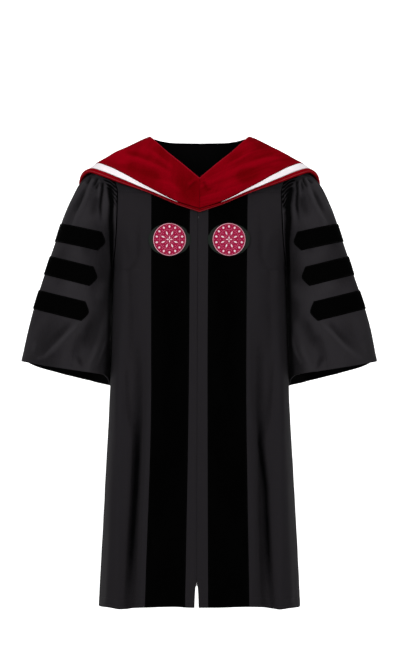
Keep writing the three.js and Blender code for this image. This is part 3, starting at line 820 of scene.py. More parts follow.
@dataclass(frozen=True)
class Satin(Finish):
    """Satin: bright and smooth, with a broad gloss and fine threads along it.

    Attributes:
        roughness: how matt it is.
    """

    roughness: float = 0.42

    def make(self, shader: Shader) -> bpy.types.Material:
        """Long fine streaks make the threads that lie on the face."""
        shader.set(Sheen_Weight=0.15, Specular_IOR_Level=0.45, Anisotropic=0.35)
        floats = shader.noise(shader.cloth_place(40, 1300), 1, 1)
        broad = shader.noise(shader.cloth_place(16, 30), 1, 2)
        share = shader.sum(shader.span(floats, 0, 0.4), shader.span(broad, 0, 0.6))
        shader.feed("Base Color", shader.blend(share, self.shade, self.colour))
        shader.feed("Roughness", shader.span(floats, self.roughness - 0.05, self.roughness + 0.1))
        shader.bump(floats, 0.00015, 0.3)
        return shader.material


@dataclass(frozen=True)
class Thread(Finish):
    """Sewing or embroidery thread, laid side by side.

    Attributes:
        pitch: how far apart its threads are, in metres.
        roughness: how matt it is.
    """

    pitch: float = 0.0006
    roughness: float = 0.5

    def make(self, shader: Shader) -> bpy.types.Material:
        """Fine noise in space stands for the twist of the threads."""
        shader.set(Sheen_Weight=0.04, Specular_IOR_Level=0.12)
        place = shader.node("TexCoord").outputs["Object"]
        twist = shader.noise(place, 1 / self.pitch, 1)
        shader.feed("Base Color", shader.blend(twist, self.shade, self.colour))
        shader.feed("Roughness", shader.span(twist, self.roughness - 0.08, self.roughness + 0.12))
        shader.bump(twist, 0.0002, 0.4)
        return shader.material


@dataclass(frozen=True)
class Plain(Finish):
    """The studio's matt floor and backdrop.

    Attributes:
        glow: how strongly it shines by itself.
    """

    glow: float = 0.0

    def make(self, shader: Shader) -> bpy.types.Material:
        """A hardly visible unevenness keeps the floor from looking drawn."""
        shader.set(Roughness=0.9, Specular_IOR_Level=0.1)
        shader.set(Emission_Color=(1, 1, 1, 1), Emission_Strength=self.glow)
        place = shader.node("TexCoord").outputs["Object"]
        shader.feed("Base Color", shader.blend(shader.noise(place, 1.5, 2), self.shade, self.colour))
        return shader.material


GOWN = PlainWeave(
    "gown_weave",
    "gown_cloth",
    (0.0164, 0.0147, 0.0167),
    (0.0003, 0.0003, 0.0005),
    crest=(0.0166, 0.0152, 0.0174),
)
# The gown cloth again, painted a little lighter than on the body for the light that falls on the sleeves,
# with a much stronger painted highlight on its ridges.
LIT_SLEEVE_CLOTH = PlainWeave(
    "sleeve_weave",
    "gown_cloth",
    (0.0196, 0.0179, 0.0202),
    (0.0002, 0.0002, 0.0003),
    crest=(0.0320, 0.0298, 0.0330),
    flute=0.0095,
)
# The gown cloth's inner face, painted far darker than its outer face: painted shade for the inside of the
# gown.
SHADED_INSIDE = PlainWeave(
    "gown_weave_inside", "gown_cloth", (0.0022, 0.0021, 0.0024), (0.001, 0.001, 0.0012), 0.88, 0.0, 0.03
)
HOOD_BACKING = PlainWeave(
    "hood_backing", "hood_velvet", (0.002, 0.0016, 0.0017), (0.001, 0.0008, 0.0009), 0.85, 0.0
)
PATCH_FELT = PlainWeave(
    "badge_patch_felt",
    "badge_patch",
    (0.0125, 0.0178, 0.0145),
    (0.0088, 0.0125, 0.0102),
    roughness=0.92,
    sheen=0.02,
    gloss=0.05,
    crest=(0.016, 0.022, 0.018),
)
BLACK_VELVET = Velvet(
    "trim_velvet_pile", "black_velvet", (0.0009, 0.0009, 0.0009), (0.0003, 0.0003, 0.0003), 0.003, gloss=0.005
)
HOOD_VELVET = Velvet(
    "hood_velvet_pile",
    "hood_velvet",
    (0.232, 0.0001, 0.0050),
    (0.130, 0.0001, 0.0016),
    tint=(1, 0.03, 0.08),
    streak=(18, 7),
    gloss=0.01,
)
RIM_VELVET = Velvet(
    "hood_rim_pile", "hood_rim", (0.22, 0.0006, 0.0040), (0.12, 0.0003, 0.002), 0.03, (1, 0.2, 0.3), (30, 12)
)
# The hood velvet in a lighter red: a painted highlight along the neckline's rolled edge.
NECK_HIGHLIGHT_VELVET = Velvet(
    "hood_neck_pile", "hood_velvet", (0.33, 0.006, 0.016), (0.2, 0.002, 0.007), 0.05, (1, 0.1, 0.15), (40, 16)
)
PIPING = Velvet(
    "hood_piping",
    "hood_rim",
    (0.47, 0.05, 0.065),
    (0.34, 0.03, 0.04),
    sheen=0.08,
    tint=(1, 0.4, 0.45),
    streak=(60, 60),
    gloss=0.04,
)
WHITE_SATIN = Satin("hood_satin_weave", "hood_satin", (0.92, 0.86, 0.885), (0.83, 0.77, 0.80))
BADGE_TWILL = Thread("badge_ground_twill", "badge_cloth", (0.36, 0.001, 0.048), (0.26, 0.0008, 0.034))
PALE_THREAD = Thread("badge_thread", "badge_cloth", (0.86, 0.74, 0.78), (0.74, 0.52, 0.60))
PINK_THREAD = Thread("badge_fine_thread", "badge_cloth", (0.74, 0.20, 0.33), (0.60, 0.11, 0.22))
BLACK_THREAD = Thread("black_thread", "gown_cloth", (0.0115, 0.0105, 0.0125), (0.006, 0.0056, 0.0066))
ZIP_METAL = Thread("zip_slider_metal", "gown_cloth", (0.06, 0.058, 0.062), (0.03, 0.029, 0.031))
VELVET_THREAD = Thread("velvet_thread", "black_velvet", (0.004, 0.004, 0.004), (0.0022, 0.0022, 0.0022))
RED_THREAD = Thread("red_thread", "hood_velvet", (0.3, 0.004, 0.014), (0.2, 0.003, 0.01))
FLOOR = Plain("studio_floor", "gown_cloth", (0.93, 0.93, 0.93), (0.9, 0.9, 0.9))
BACKDROP = Plain("studio_backdrop", "gown_cloth", (0.93, 0.93, 0.93), (0.9, 0.9, 0.9), glow=0.85)

# Sewing


@dataclass(frozen=True)
class Stitch:
    """The size of a stitch, and how far apart stitches are.

    Attributes:
        pitch: how far it is from one stitch to the next.
        length: how long a stitch is.
        width: how wide it is.
        height: how far it stands out.
    """

    pitch: float = 3.4
    length: float = 2.3
    width: float = 0.55
    height: float = 0.3


@dataclass
class Sewing:
    """Gathers rows of stitches into one mesh.

    Attributes:
        stitch: the size of the stitches.
        points: the corners of the stitches sewn so far, a row of arrays.
    """

    stitch: Stitch = field(default_factory=Stitch)
    points: list[Array] = field(default_factory=list)

    def run(self, path: Array, normals: Array, lift: float = 0.05) -> None:
        """Sews along a path on a cloth.

        Args:
            path: the points along the path.
            normals: the cloth's normals there.
            lift: how far the stitches' middle is off the cloth.
        """
        reach = run_along(path)
        middles = np.arange(self.stitch.pitch, reach[-1] - self.stitch.pitch / 2, self.stitch.pitch)

        def read(values: Array, at: Array) -> Array:
            """The values at lengths along the path."""
            return np.stack([np.interp(at, reach, values[:, k]) for k in range(3)], 1)

        half = self.stitch.length / 2
        start, middle, end = (read(path, middles + d) for d in (-half, 0, half))
        out = unit(read(normals, middles))
        aside = unit(np.cross(end - start, out)) * self.stitch.width / 2
        top, low = middle + out * (self.stitch.height + lift), middle - out * 0.15
        ends = (start - out * 0.1, end - out * 0.1)
        self.points.append(np.stack([ends[0], middle + aside, top, middle - aside, ends[1], low], 1))

    def build(self, name: str, finish: Finish) -> Object:
        """Makes the mesh of all the stitches."""
        points = np.concatenate(self.points)
        upper = [(0, 1, 2), (0, 2, 3), (4, 2, 1), (4, 3, 2)]
        shape = np.array([*upper, (0, 5, 1), (0, 3, 5), (4, 1, 5), (4, 5, 3)])
        faces = (np.arange(len(points))[:, None, None] * 6 + shape[None]).reshape(-1, 3)
        return dressed(mesh_object(name, points.reshape(-1, 3), faces), finish)


@dataclass
class Braid:
    """A narrow closed strip or cord that runs along a cloth.

    Attributes:
        path: the points along its middle.
        normals: the cloth's normals there.
        width: how wide it is.
        height: how thick it is.
        looped: whether its end meets its start.
        sides: how many sides its section has.
    """

    path: Array
    normals: Array
    width: float
    height: float
    looped: bool = False
    sides: int = 8

    def mesh(self) -> tuple[Array, Array, Array]:
        """Its points, its quads and their places on the flat cloth."""
        if self.looped:
            ahead = np.roll(self.path, -1, 0) - np.roll(self.path, 1, 0)
        else:
            ahead = np.gradient(self.path, axis=0)
        ahead = unit(ahead)
        across = unit(np.cross(ahead, self.normals))
        over = np.cross(across, ahead)
        angles = np.arange(self.sides) * TURN / self.sides
        ring = np.cos(angles)[None, :, None] * across[:, None] * self.width / 2
        ring = ring + np.sin(angles)[None, :, None] * over[:, None] * self.height / 2
        count = len(self.path)
        steps = np.arange(count if self.looped else count - 1)
        i, j = np.meshgrid(steps * self.sides, np.arange(self.sides), indexing="ij")
        k, following = (j + 1) % self.sides, (i + self.sides) % (count * self.sides)
        quads = [np.stack([i + j, i + k, following + k, following + j], -1).reshape(-1, 4)]
        if not self.looped:
            quads.append(np.array([self.cap(end) for end in (0, count - 1)]).reshape(-1, 4))
        run = run_along(self.path)
        places = np.stack([np.tile(angles * self.width / 2, count), np.repeat(run, self.sides)], 1)
        return (self.path[:, None] + ring).reshape(-1, 3), np.concatenate(quads), places

    def cap(self, end: int) -> list[tuple[int, ...]]:
        """The quads that close one end, for a section with an even number of sides."""
        corner = end * self.sides + np.arange(self.sides)[:: -1 if end else 1]
        return [(corner[0], corner[a + 2], corner[a + 1], corner[a]) for a in range(1, self.sides - 2, 2)]

    def build(self, name: str, finish: Finish) -> Object:
        """Makes the mesh object."""
        return dressed(mesh_object(name, *self.mesh()), finish)


# The body's form


def armhole_depth(z: Array | float) -> Array:
    """How far the armhole's edge stands in front of and behind the shoulder line at a height."""
    up = (z - ARMHOLE_Z) / ARMHOLE_HALF_HEIGHT
    return ARMHOLE_HALF_DEPTH * np.sqrt(np.maximum(0, 1 - up * up))


def body_side(z: Array | float) -> Array:
    """How far the side seam or the armhole's edge is from the middle of the body at a height."""
    return BODY.read("side", z)


class Section:
    """A level section of the body's front or back half: a rounded box that ends at its edge."""

    def __init__(self, z: float, half: Half) -> None:
        """Works out the section's sizes.

        Args:
            z: its height.
            half: the half of the body.
        """
        self.z, self.half = z, half
        self.depth = float(BODY.read(half.word, z))
        self.square = float(BODY.read("square", z))
        opening = (float(armhole_depth(z)) / self.depth) ** self.square
        self.half_width = float(body_side(z)) / (1 - opening) ** (1 / self.square)
        self.edge_angle = math.asin(math.sqrt(opening))

    def at_angle(self, angle: Array) -> Array:
        """Points by their angle: 0 at the left side, a quarter turn in the middle."""
        power = 2 / self.square
        x = self.half_width * signed_power(np.cos(angle), power)
        y = self.half.value * self.depth * signed_power(np.sin(angle), power)
        return np.stack([x, y, np.full_like(x, self.z)], -1)

    def at_x(self, x: Array) -> Array:
        """Points by their distance from the middle of the body."""
        left = np.maximum(0, 1 - (np.abs(x) / self.half_width) ** self.square)
        y = self.half.value * self.depth * left ** (1 / self.square)
        return np.stack([x, y, np.full_like(x, self.z)], -1)

    def facing(self, points: Array) -> Array:
        """The level directions in which the section faces at its points."""
        x = signed_power(points[..., 0] / self.half_width, self.square - 1) / self.half_width
        y = signed_power(points[..., 1] / self.depth, self.square - 1) / self.depth
        return unit(np.stack([x, y, np.zeros_like(x)], -1))

    def arc(self, start: float, end: float, shares: Array) -> Array:
        """Points by their share of the length from one angle to another."""
        first, last = (signed_power(np.cos(angle), 2 / self.square) for angle in (start, end))
        across = np.linspace(first, last, 200)
        by_width = np.arccos(np.clip(signed_power(across, self.square / 2), -1, 1))
        trial = np.sort(np.concatenate([np.linspace(start, end, 200), by_width]))
        trial = trial[::-1] if start > end else trial
        run = run_along(self.at_angle(trial))
        return self.at_angle(np.interp(shares * run[-1], run, trial))

    def with_hem(self, points: Array) -> Array:
        """Lifts or drops the section's points for the curve of the hem."""
        low = max(0.0, (UNDERARM_Z - self.z) / (UNDERARM_Z - HEM_Z))
        points[:, 2] += HEM_RISE[self.half] * low**2 * (np.abs(points[:, 1]) / self.depth) ** 1.5
        return points


def body_heights(skirt: Sequence[float], armhole: Sequence[float]) -> list[float]:
    """Heights from the hem up to the yoke seam, even around the armhole.

    Args:
        skirt: shares of the way from the hem to the underarm.
        armhole: shares of the way from there to the yoke seam.

    Returns:
        The heights.
    """
    seam_angle = math.acos((ARMHOLE_Z - YOKE_SEAM_Z + SEAM_GAP / 2) / ARMHOLE_HALF_HEIGHT)
    above = [ARMHOLE_Z - ARMHOLE_HALF_HEIGHT * math.cos(share * seam_angle) for share in armhole]
    return [mix(HEM_Z, UNDERARM_Z, share) for share in skirt] + above[1:]


@dataclass(frozen=True)
class Draw:
    """A vertical fold that draws a front in.

    Attributes:
        share: where it is, as a share of the way from the panel to the side seam.
        width: its width, as such a share.
        depth: how far it draws the cloth in.
        start: the height where it starts.
        full: the height where it has its whole depth.
    """

    share: float
    width: float
    depth: float
    start: float
    full: float

    def at(self, shares: Array, z: float) -> Array:
        """How far it draws the cloth in at shares of the way."""
        grown = float(smooth(-z, -self.start, -self.full))
        return self.depth * grown * bell(shares, self.share, self.width)


FRONT_DRAWS = (
    Draw(0.2, 0.12, 17, -380, -720),
    Draw(0.46, 0.14, -7, -300, -900),
    Draw(0.34, 0.12, 4, -150, -330),
)
SLIT_HEIGHT, SLIT_HALF_WIDTH, SLIT_ROUNDNESS = 58.0, 5.0, 0.3


def front_net(side: Side, columns: Array, heights: Sequence[float]) -> Array:
    """The points of a front: columns are 0 at the opening, 1 and 2 at the panel's edges, 3 at the side.

    Args:
        side: the wearer's side.
        columns: the places across.
        heights: the heights, from the hem up.

    Returns:
        Rows x columns x 3.
    """
    near, rows = columns <= 2, []
    for z in heights:
        section = Section(z, Half.FRONT)
        slit = SLIT_HALF_WIDTH * min(max(1 - (z - HEM_Z) / SLIT_HEIGHT, 0), 1) ** SLIT_ROUNDNESS
        opening = float(FRONT_EDGES.read("opening", z)) + side.value * (SEAM_GAP / 2 + slit)
        edges = (FRONT_EDGES.read(f"{side.word}_{edge}", z) for edge in ("in", "out"))
        panel_in, panel_out = (side.value * float(x) for x in edges)
        inner = section.at_x(np.interp(columns[near], [0, 1, 2], [opening, panel_in, panel_out]))
        start = math.acos((abs(panel_out) / section.half_width) ** (section.square / 2))
        shares = columns[~near] - 2
        outer = section.arc(start, section.edge_angle, shares)
        free = smooth(shares, 0, 0.1) * smooth(shares, 1, 0.85)
        outer -= section.facing(outer) * (free * sum(draw.at(shares, z) for draw in FRONT_DRAWS))[:, None]
        outer[:, 0] *= side.value
        rows.append(section.with_hem(np.concatenate([inner, outer])))
    return np.stack(rows)


@dataclass(frozen=True)
class BackFolds:
    """The pleats at the yoke seam, and the broad folds that they open into.

    Attributes:
        pleats: how many pleats there are.
        pleat_depth: how far they stand out and in.
        deep_below: how far under the seam they have their whole depth.
        fade_z: the height where they have gone.
        edge: the share of the way across that stays level at each side seam.
        folds: how many folds there are.
        fold_depth: how far they stand out and in at the hem.
        unevenness: how far they are from even, as a share of a fold.
    """

    pleats: int = 22
    pleat_depth: float = 2.8
    deep_below: float = 30.0
    fade_z: float = -430.0
    edge: float = 0.08
    folds: int = 6
    fold_depth: float = 12.0
    unevenness: float = 0.35

    def at(self, shares: Array, z: float) -> Array:
        """How far the back stands out at shares of the way from side seam to side seam."""
        free = smooth(shares, 0, self.edge) * smooth(shares, 1, 1 - self.edge)
        pleated = smooth(YOKE_SEAM_Z - z, 0, self.deep_below) * smooth(-z, -self.fade_z, -YOKE_SEAM_Z)
        pleat = self.pleat_depth * pleated * np.cos(TURN * self.pleats * shares)
        swing = self.folds * shares + self.unevenness * np.sin(TURN * shares)
        fold = self.fold_depth * smooth(-z, -YOKE_SEAM_Z, -HEM_Z) * np.cos(TURN * swing)
        return free * (pleat + fold)


def back_net(columns: Array, heights: Sequence[float], folds: BackFolds) -> Array:
    """The points of the back.

    Args:
        columns: the places across, 0 at the right side seam and 1 at the left one.
        heights: the heights, from the hem up.
        folds: the pleats and folds.

    Returns:
        Rows x columns x 3.
    """
    rows = []
    for z in heights:
        section = Section(z, Half.BACK)
        points = section.arc(math.pi - section.edge_angle, section.edge_angle, columns)
        points += section.facing(points) * folds.at(columns, z)[:, None]
        rows.append(section.with_hem(points))
    return np.stack(rows)


def between(
    inner: Array, outer: Array, shares: Array, swell: Array, profile: Callable[[Array], Array]
) -> Array:
    """The points of a surface between two edges, swollen outwards between them.

    Args:
        inner: points along the inner edge.
        outer: the matching points along the outer edge.
        shares: how far across each point lies, rows x columns.
        swell: how far the surface swells at each column.
        profile: the swell's share at each share of the way across.

    Returns:
        Rows x columns x 3.
    """
    middle = (inner + outer) / 2
    out = unit(np.cross(np.gradient(middle, axis=0), outer - inner))
    away = np.einsum("ij,ij->i", out, middle - np.array(BODY_CORE)) < 0
    out = np.where(away[:, None], -out, out)
    base = inner[None] + (outer - inner)[None] * shares[..., None]
    return base + out[None] * (swell[None] * profile(np.clip(shares, 0, 1)))[..., None]


def yoke_edge(sides: Array, stations: Array) -> Array:
    """The yoke's lower edge, by station and side: it follows the body's seams and the armhole."""
    z = YOKE_SEAM_Z + SEAM_GAP / 2
    seam_angle = math.asin((z - ARMHOLE_Z) / ARMHOLE_HALF_HEIGHT)
    front, back = Section(z, Half.FRONT), Section(z, Half.BACK)
    side_at_seam, opening = float(body_side(z)), float(FRONT_EDGES.read("opening", z))
    rows = []
    for side, q in zip(sides, stations):
        if 1 <= q <= 2:
            angle = mix(seam_angle, math.pi - seam_angle, q - 1)
            height = ARMHOLE_Z + ARMHOLE_HALF_HEIGHT * math.sin(angle)
            x = side * float(body_side(height))
            rows.append(np.array([x, -ARMHOLE_HALF_DEPTH * math.cos(angle), height]))
        elif q < 1:
            x = (1 - q) * opening + side * mix(SEAM_GAP / 2, side_at_seam, q)
            rows.append(front.at_x(np.array([x]))[0])
        else:
            rows.append(back.at_x(np.array([side * side_at_seam * (3 - q)]))[0])
    return np.stack(rows)


def yoke_net(places: Array, shares: Array) -> Array:
    """The points of the yoke.

    Args:
        places: from -3 at one front edge, over the back at 0, to 3.
        shares: how far each row is from the neck's edge to the lower one.

    Returns:
        Rows x columns x 3.
    """
    stations, sides = np.clip(3 - np.abs(places), 0, 3), np.where(places < 0, -1.0, 1.0)
    opening = (1 - np.minimum(stations, 1)) * float(FRONT_EDGES.read("opening", YOKE_SEAM_Z))
    neck_x, neck_y, neck_z, rise = (YOKE.read(name, stations) for name in YOKE.columns[1:])
    inner = np.stack([opening + sides * neck_x, neck_y, neck_z], 1)
    grid = np.broadcast_to(shares[:, None], (len(shares), len(places)))
    return between(inner, yoke_edge(sides, stations), grid, rise, lambda t: 4 * t * (1 - t))


# The sleeves' form

SEAM_TURN = 0.272
HEAD_BLEND = 0.14
CUFF_DROP, CUFF_START = 34.0, 0.6
LEAN_DEPTH, LEAN_Y, LEAN_WIDTH = 15.0, 68.0, 30.0


@dataclass(frozen=True)
class SleeveFolds:
    """The gathers of the sleeve head, and the broad slanting folds below them.

    Attributes:
        gathers: how many gathers there are.
        turn: how far round from the outer fold they reach, in turns.
        fade_turn: where they start to fade.
        depth: how far they stand out and in.
        full_v: how far down the sleeve they have their whole depth.
        fade_z: the height where they start to fade.
        end_z: the height where they have gone.
        folds: how many folds there are.
        fold_depth: how far they stand out and in.
        slant: how many turns they slant by, down the whole sleeve.
        start_v: how far down the sleeve they start.
        whole_v: how far down they have their whole depth.
        loose_turn: how far round the sleeve is free to fold.
        edge_turn: where it is level.
    """

    gathers: int = 25
    turn: float = 0.34
    fade_turn: float = 0.29
    depth: float = 1.0
    full_v: float = 0.05
    fade_z: float = -120.0
    end_z: float = -240.0
    folds: int = 5
    fold_depth: float = 3.2
    slant: float = 0.8
    start_v: float = 0.35
    whole_v: float = 0.8
    loose_turn: float = 0.26
    edge_turn: float = 0.36

    def at(self, turns: Array, v: Array, z: Array) -> Array:
        """How far the sleeve stands out at turns from its outer fold."""
        around = np.abs(turns)
        high = 1 - smooth(-z, -self.fade_z, -self.end_z)
        gathered = high * smooth(v, 0, self.full_v) * (1 - smooth(around, self.fade_turn, self.turn))
        loose = 1 - smooth(around, self.loose_turn, self.edge_turn)
        folded = loose * smooth(v, self.start_v, self.whole_v)
        gathered *= 1 - smooth(turns, 0.03, 0.08)
        gather = self.depth * gathered * np.cos(TURN * self.gathers * turns / (2 * self.turn))
        return gather + self.fold_depth * folded * np.cos(TURN * (self.folds * turns + self.slant * v))


def sleeve_net(side: Side, turns: Array, rows: Array, folds: SleeveFolds) -> Array:
    """The points of a sleeve.

    Args:
        side: the wearer's side.
        turns: turns from the outer fold, more than 0 in front.
        rows: places from the armhole at 0 to the cuff at 1.
        folds: the gathers and folds.

    Returns:
        Rows x columns x 3.
    """
    turn, v = np.meshgrid(either_way(turns), rows)
    read = {name: SLEEVE.read(name, v) for name in SLEEVE.columns[1:]}
    inner_x = body_side(read["in_z"]) + read["clear"]
    outer = np.stack([read["out_x"], np.zeros_like(v), read["out_z"]], -1)
    centre = (outer + np.stack([inner_x, np.zeros_like(v), read["in_z"]], -1)) / 2
    reach = outer - centre
    across = signed_power(np.cos(TURN * turn), 2 / read["square"])
    ahead = signed_power(np.sin(TURN * turn), 2 / read["square"])
    points = centre + reach * across[..., None]
    points[..., 1] = -read["half_depth"] * ahead
    out = unit(points - centre)
    head = np.clip(1 - v / HEAD_BLEND, 0, 1) ** 2
    points[..., 0] = mix(points[..., 0], body_side(points[..., 2]) + ARMHOLE_GAP, head)
    points += out * folds.at(turn, v, points[..., 2])[..., None]
    tucked = np.exp(-(((points[..., 1] - LEAN_Y) / LEAN_WIDTH) ** 2)) * smooth(-across, 0, 0.5)
    points[..., 0] -= LEAN_DEPTH * tucked * smooth(v, 0.02, 0.13)
    behind = smooth(-ahead, -0.7, 0.6) * mix(0.3, 1, (1 - across) / 2) * (1 - np.maximum(0, across) ** 6)
    points[..., 2] -= CUFF_DROP * behind * smooth(v, CUFF_START, 1)
    points[..., 0] *= side.value
    return points


# The hood's form

HOOD_SEAM_SHARE = 0.006
HOOD_LAST = 9
GROOVE_ROW = 13


def hood_profile(t: Array) -> Array:
    """How the hood swells on its way out: a little at the neck, and most near its outer edge."""
    return 3.5 * t * t * np.sqrt(1 - t) + 2.4 * np.sqrt(t) * (1 - t) ** 2


def hood_net(places: Array, shares: Array, start: str | None, end: str | None) -> Array:
    """The points of one band of the hood.

    Args:
        places: from -9 at the centre front, over the back at 0, to 9.
        shares: how far across the band each row is.
        start: the column of the table that gives where the band starts, or None for the neck.
        end: the column that gives where it ends, or None for the outer edge.

    Returns:
        Rows x columns x 3.
    """
    stations, sides = np.clip(HOOD_LAST - np.abs(places), 0, HOOD_LAST), np.where(places < 0, -1.0, 1.0)
    read = {name: HOOD.read(name, stations) for name in HOOD.columns[1:]}
    inner = np.stack([sides * read["neck_x"], read["neck_y"], read["neck_z"]], 1)
    outer = np.stack([sides * read["out_x"], read["out_y"], read["out_z"]], 1)
    first = read[start] + HOOD_SEAM_SHARE if start else np.zeros_like(stations)
    last = read[end] if end else np.ones_like(stations)
    grid = first[None] + (last - first)[None] * shares[:, None]
    return between(inner, outer, grid, read["swell"], hood_profile)


# Folds that show, and like ones behind

SLEEVE_FRONT_FOLDS = (
    Fold(((-299, -104), (-334, -162), (-352, -206)), 3.4, 5, 0.7, 0.5),
    Fold(((-278, -98), (-288, -118), (-304, -159), (-324, -207), (-333, -230)), 4.4, 4.0, 0.7, 0.6),
    Fold(((-296, -116), (-310, -147), (-328, -186)), -2.8, 7),
    Fold(((-285, -90), (-296, -108)), -5.0, 3.6, 0.8),
    Fold(((-266, -93), (-277, -112)), -5.6, 3.0, 0.8, 0.3),
    Fold(((-262, -104), (-271, -120)), -5.0, 3.0, 0.6, 0.2),
    Fold(((-262.6, -98), (-260.3, -122), (-262.6, -150)), 2.6, 3.6, 0.6),
    Fold(((-252.4, -104), (-253, -122), (-256, -142), (-258, -165), (-256, -204)), -6.5, 3.2, 0.9, 0.1),
    Fold(((-268, -134), (-272, -164), (-282, -196)), -2.2, 9),
    Fold(((-243, -106), (-243, -160), (-242, -229)), 1.7, 8, 0.5),
    Fold(
        ((-234, -118), (-231, -140), (-228, -160), (-229, -200), (-225, -262), (-221, -330), (-219, -408)),
        -12.0, 5.6, 0.7, 1.0,
    ),
    Fold(((-219, -408), (-220, -500), (-223, -596)), -10.0, 5.0, 1.0, 0.8),
    Fold(((-238, -140), (-238, -200), (-234, -300)), -1.8, 9),
    Fold(
        ((-219.4, -140), (-221, -168), (-220, -189), (-216.6, -230), (-215.5, -325), (-216, -400)),
        5.0, 3.2, 0.6, 0.4,
    ),
    Fold(((-313, -468), (-347, -504), (-374, -530), (-402, -555), (-419, -560)), 5.4, 6, 0.2, 0.3),
    Fold(((-330, -462), (-362, -494), (-396, -524)), -1.8, 9, 0.2, 0.2),
    Fold(((-300, -487), (-321, -537), (-332, -575)), -1.6, 13, 0.2, 0.5),
    Fold(((-240, -443), (-260, -520), (-287, -592)), 2.6, 9, 0.2, 0.7),
    Fold(((-274, -455), (-288, -486), (-299, -538)), -2.4, 11, 0.3),
    Fold(((-241, -507), (-251, -538), (-265, -574)), 2.6, 4.0, 0.3, 0.5),
    Fold(((-265, -525), (-272, -543), (-290, -580)), 2.0, 5, 0.3, 0.5),
    Fold(((-313, -560), (-305, -580)), -2.6, 6, 0.6, 0.6),
    Fold(((-434, -545), (-425, -512)), 1.2, 5, 0.3),
    Fold(((-262, -236), (-284, -262), (-300, -300)), -1.2, 12),
    Fold(((-318, -330), (-330, -362), (-352, -392)), 1.4, 14),
    Fold(((-246, -350), (-256, -380), (-262, -420)), 1.4, 12),
)
SLEEVE_BACK_FOLDS = (
    Fold(((-286, -104), (-304, -150), (-330, -206)), 3.4, 6, 0.6),
    Fold(((-266, -104), (-280, -150), (-300, -196)), -3.2, 6, 0.6),
    Fold(((-256, -108), (-262, -160), (-272, -230)), 2.6, 5, 0.6),
    Fold(((-246, -110), (-250, -160), (-256, -230)), -3.6, 5, 0.6),
    Fold(((-231, -140), (-226, -220), (-222, -380)), -5.5, 6, 0.6),
    Fold(((-300, -450), (-346, -500), (-416, -566)), 6.5, 9, 0.2, 0.7),
    Fold(((-286, -480), (-316, -530), (-348, -590)), -5.0, 13, 0.1, 0.5),
    Fold(((-236, -430), (-254, -500), (-284, -610)), 6.0, 10, 0.2, 0.8),
    Fold(((-300, -260), (-320, -300), (-330, -350)), 2.2, 16),
)
FRONT_BODY_FOLDS = (
    Fold(
        ((-160, -690), (-164, -775), (-170, -902), (-177, -1019), (-183, -1118), (-190, -1206)),
        -10.0, 8, 0.0, 0.5,
    ),
    Fold(((-200, -540), (-191, -668), (-180, -780)), -5.0, 13),
    Fold(((-207, -408), (-210.6, -720), (-213, -980), (-214.5, -1206)), 4.0, 10, 0.0, 0.9),
    Fold(((-136.5, -616), (-140.4, -772), (-147, -980), (-152, -1206)), 3.4, 8, 0.0, 0.9),
    Fold(((-178, -380), (-183, -480), (-188, -620)), -2.6, 16),
    Fold(((-236, -560), (-246, -860), (-256, -1190)), -3.4, 12, 0.1, 0.9),
    Fold(((-196, -215), (-176, -262), (-166, -330)), 2.4, 12),
    Fold(((-206, -250), (-200, -330), (-202, -420)), 2.0, 10),
)
BACK_BODY_FOLDS = (
    Fold(((-120, -300), (-128, -520), (-150, -900), (-158, -1180)), -8.0, 13, 0.0, 0.6),
    Fold(((-60, -360), (-64, -620), (-70, -1180)), 4.0, 14, 0.0, 0.8),
    Fold(((10, -420), (6, -760), (16, -1190)), -7.5, 13, 0.0, 0.6),
    Fold(((92, -320), (96, -600), (112, -1180)), -6.0, 12, 0.0, 0.6),
    Fold(((170, -420), (184, -760), (206, -1180)), 4.5, 14, 0.0, 0.8),
)
HOOD_FOLDS = (
    Fold(((-12, -101), (-23, -117), (-33, -122)), -3.0, 3.6, 0.8, 0.2),
    Fold(((-8, -92), (-20, -104), (-36, -110)), 2.6, 4.5, 0.5, 0.0),
    Fold(((-219, -36), (-162, -43), (-106, -65), (-60, -92)), 3.4, 6.5),
    Fold(((-236, -58), (-176, -64), (-120, -84), (-64, -112)), -2.0, 7),
    Fold(((-200, -22), (-160, -30), (-120, -46)), -2.2, 6),
    Fold(((-150, -10), (-112, -34), (-60, -72)), 2.6, 6),
    Fold(((-110, -94), (-76, -110), (-40, -132)), 2.2, 6),
)


def both_sides(folds: Sequence[Fold], side: Side) -> list[Fold]:
    """The folds of a side, which are given for the right one."""
    if side is Side.RIGHT:
        return list(folds)
    return [fold.mirrored(5.0, seed) for seed, fold in enumerate(folds)]


# The garment

RIDES_ON = "root"


def wear(piece: Object, *nodes: str) -> None:
    """Makes a piece move with the garment, and stand for the solids that it replaces.

    Args:
        piece: the piece.
        nodes: the solids' nodes, if it replaces any.
    """
    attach(piece, RIDES_ON)
    if nodes:
        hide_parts(*nodes)
    LOG.info("%s: %d faces", piece.name, len(piece.data.polygons))


def flat_area(points: Array) -> float:
    """The area of a net in square metres."""
    a, b, c, d = points[:-1, :-1], points[:-1, 1:], points[1:, 1:], points[1:, :-1]
    area = np.linalg.norm(np.cross(b - a, c - a), axis=2) + np.linalg.norm(np.cross(c - a, d - a), axis=2)
    return float(area.sum()) / 2 * MM * MM


@dataclass
class Sheet:
    """A sheet of cloth on the garment.

    Attributes:
        piece: its object.
        face: its outer face.
    """

    piece: Object
    face: Cloth


@dataclass(frozen=True)
class Cut:
    """What a sheet is made of, and how it is held.

    Attributes:
        finish: the finish of its outer face and its edges.
        lining: the finish of its inner face, where it differs.
        held: how it is held; not used.
    """

    finish: Finish
    lining: Finish | None = None
    held: str = "hung"


HUNG, GATHERED = Cut(GOWN, SHADED_INSIDE), Cut(GOWN, SHADED_INSIDE, "gathered")
SLEEVE_HUNG, SLEEVE_GATHERED = Cut(LIT_SLEEVE_CLOTH, SHADED_INSIDE), Cut(LIT_SLEEVE_CLOTH, SHADED_INSIDE, "gathered")
TRIM = Cut(BLACK_VELVET)


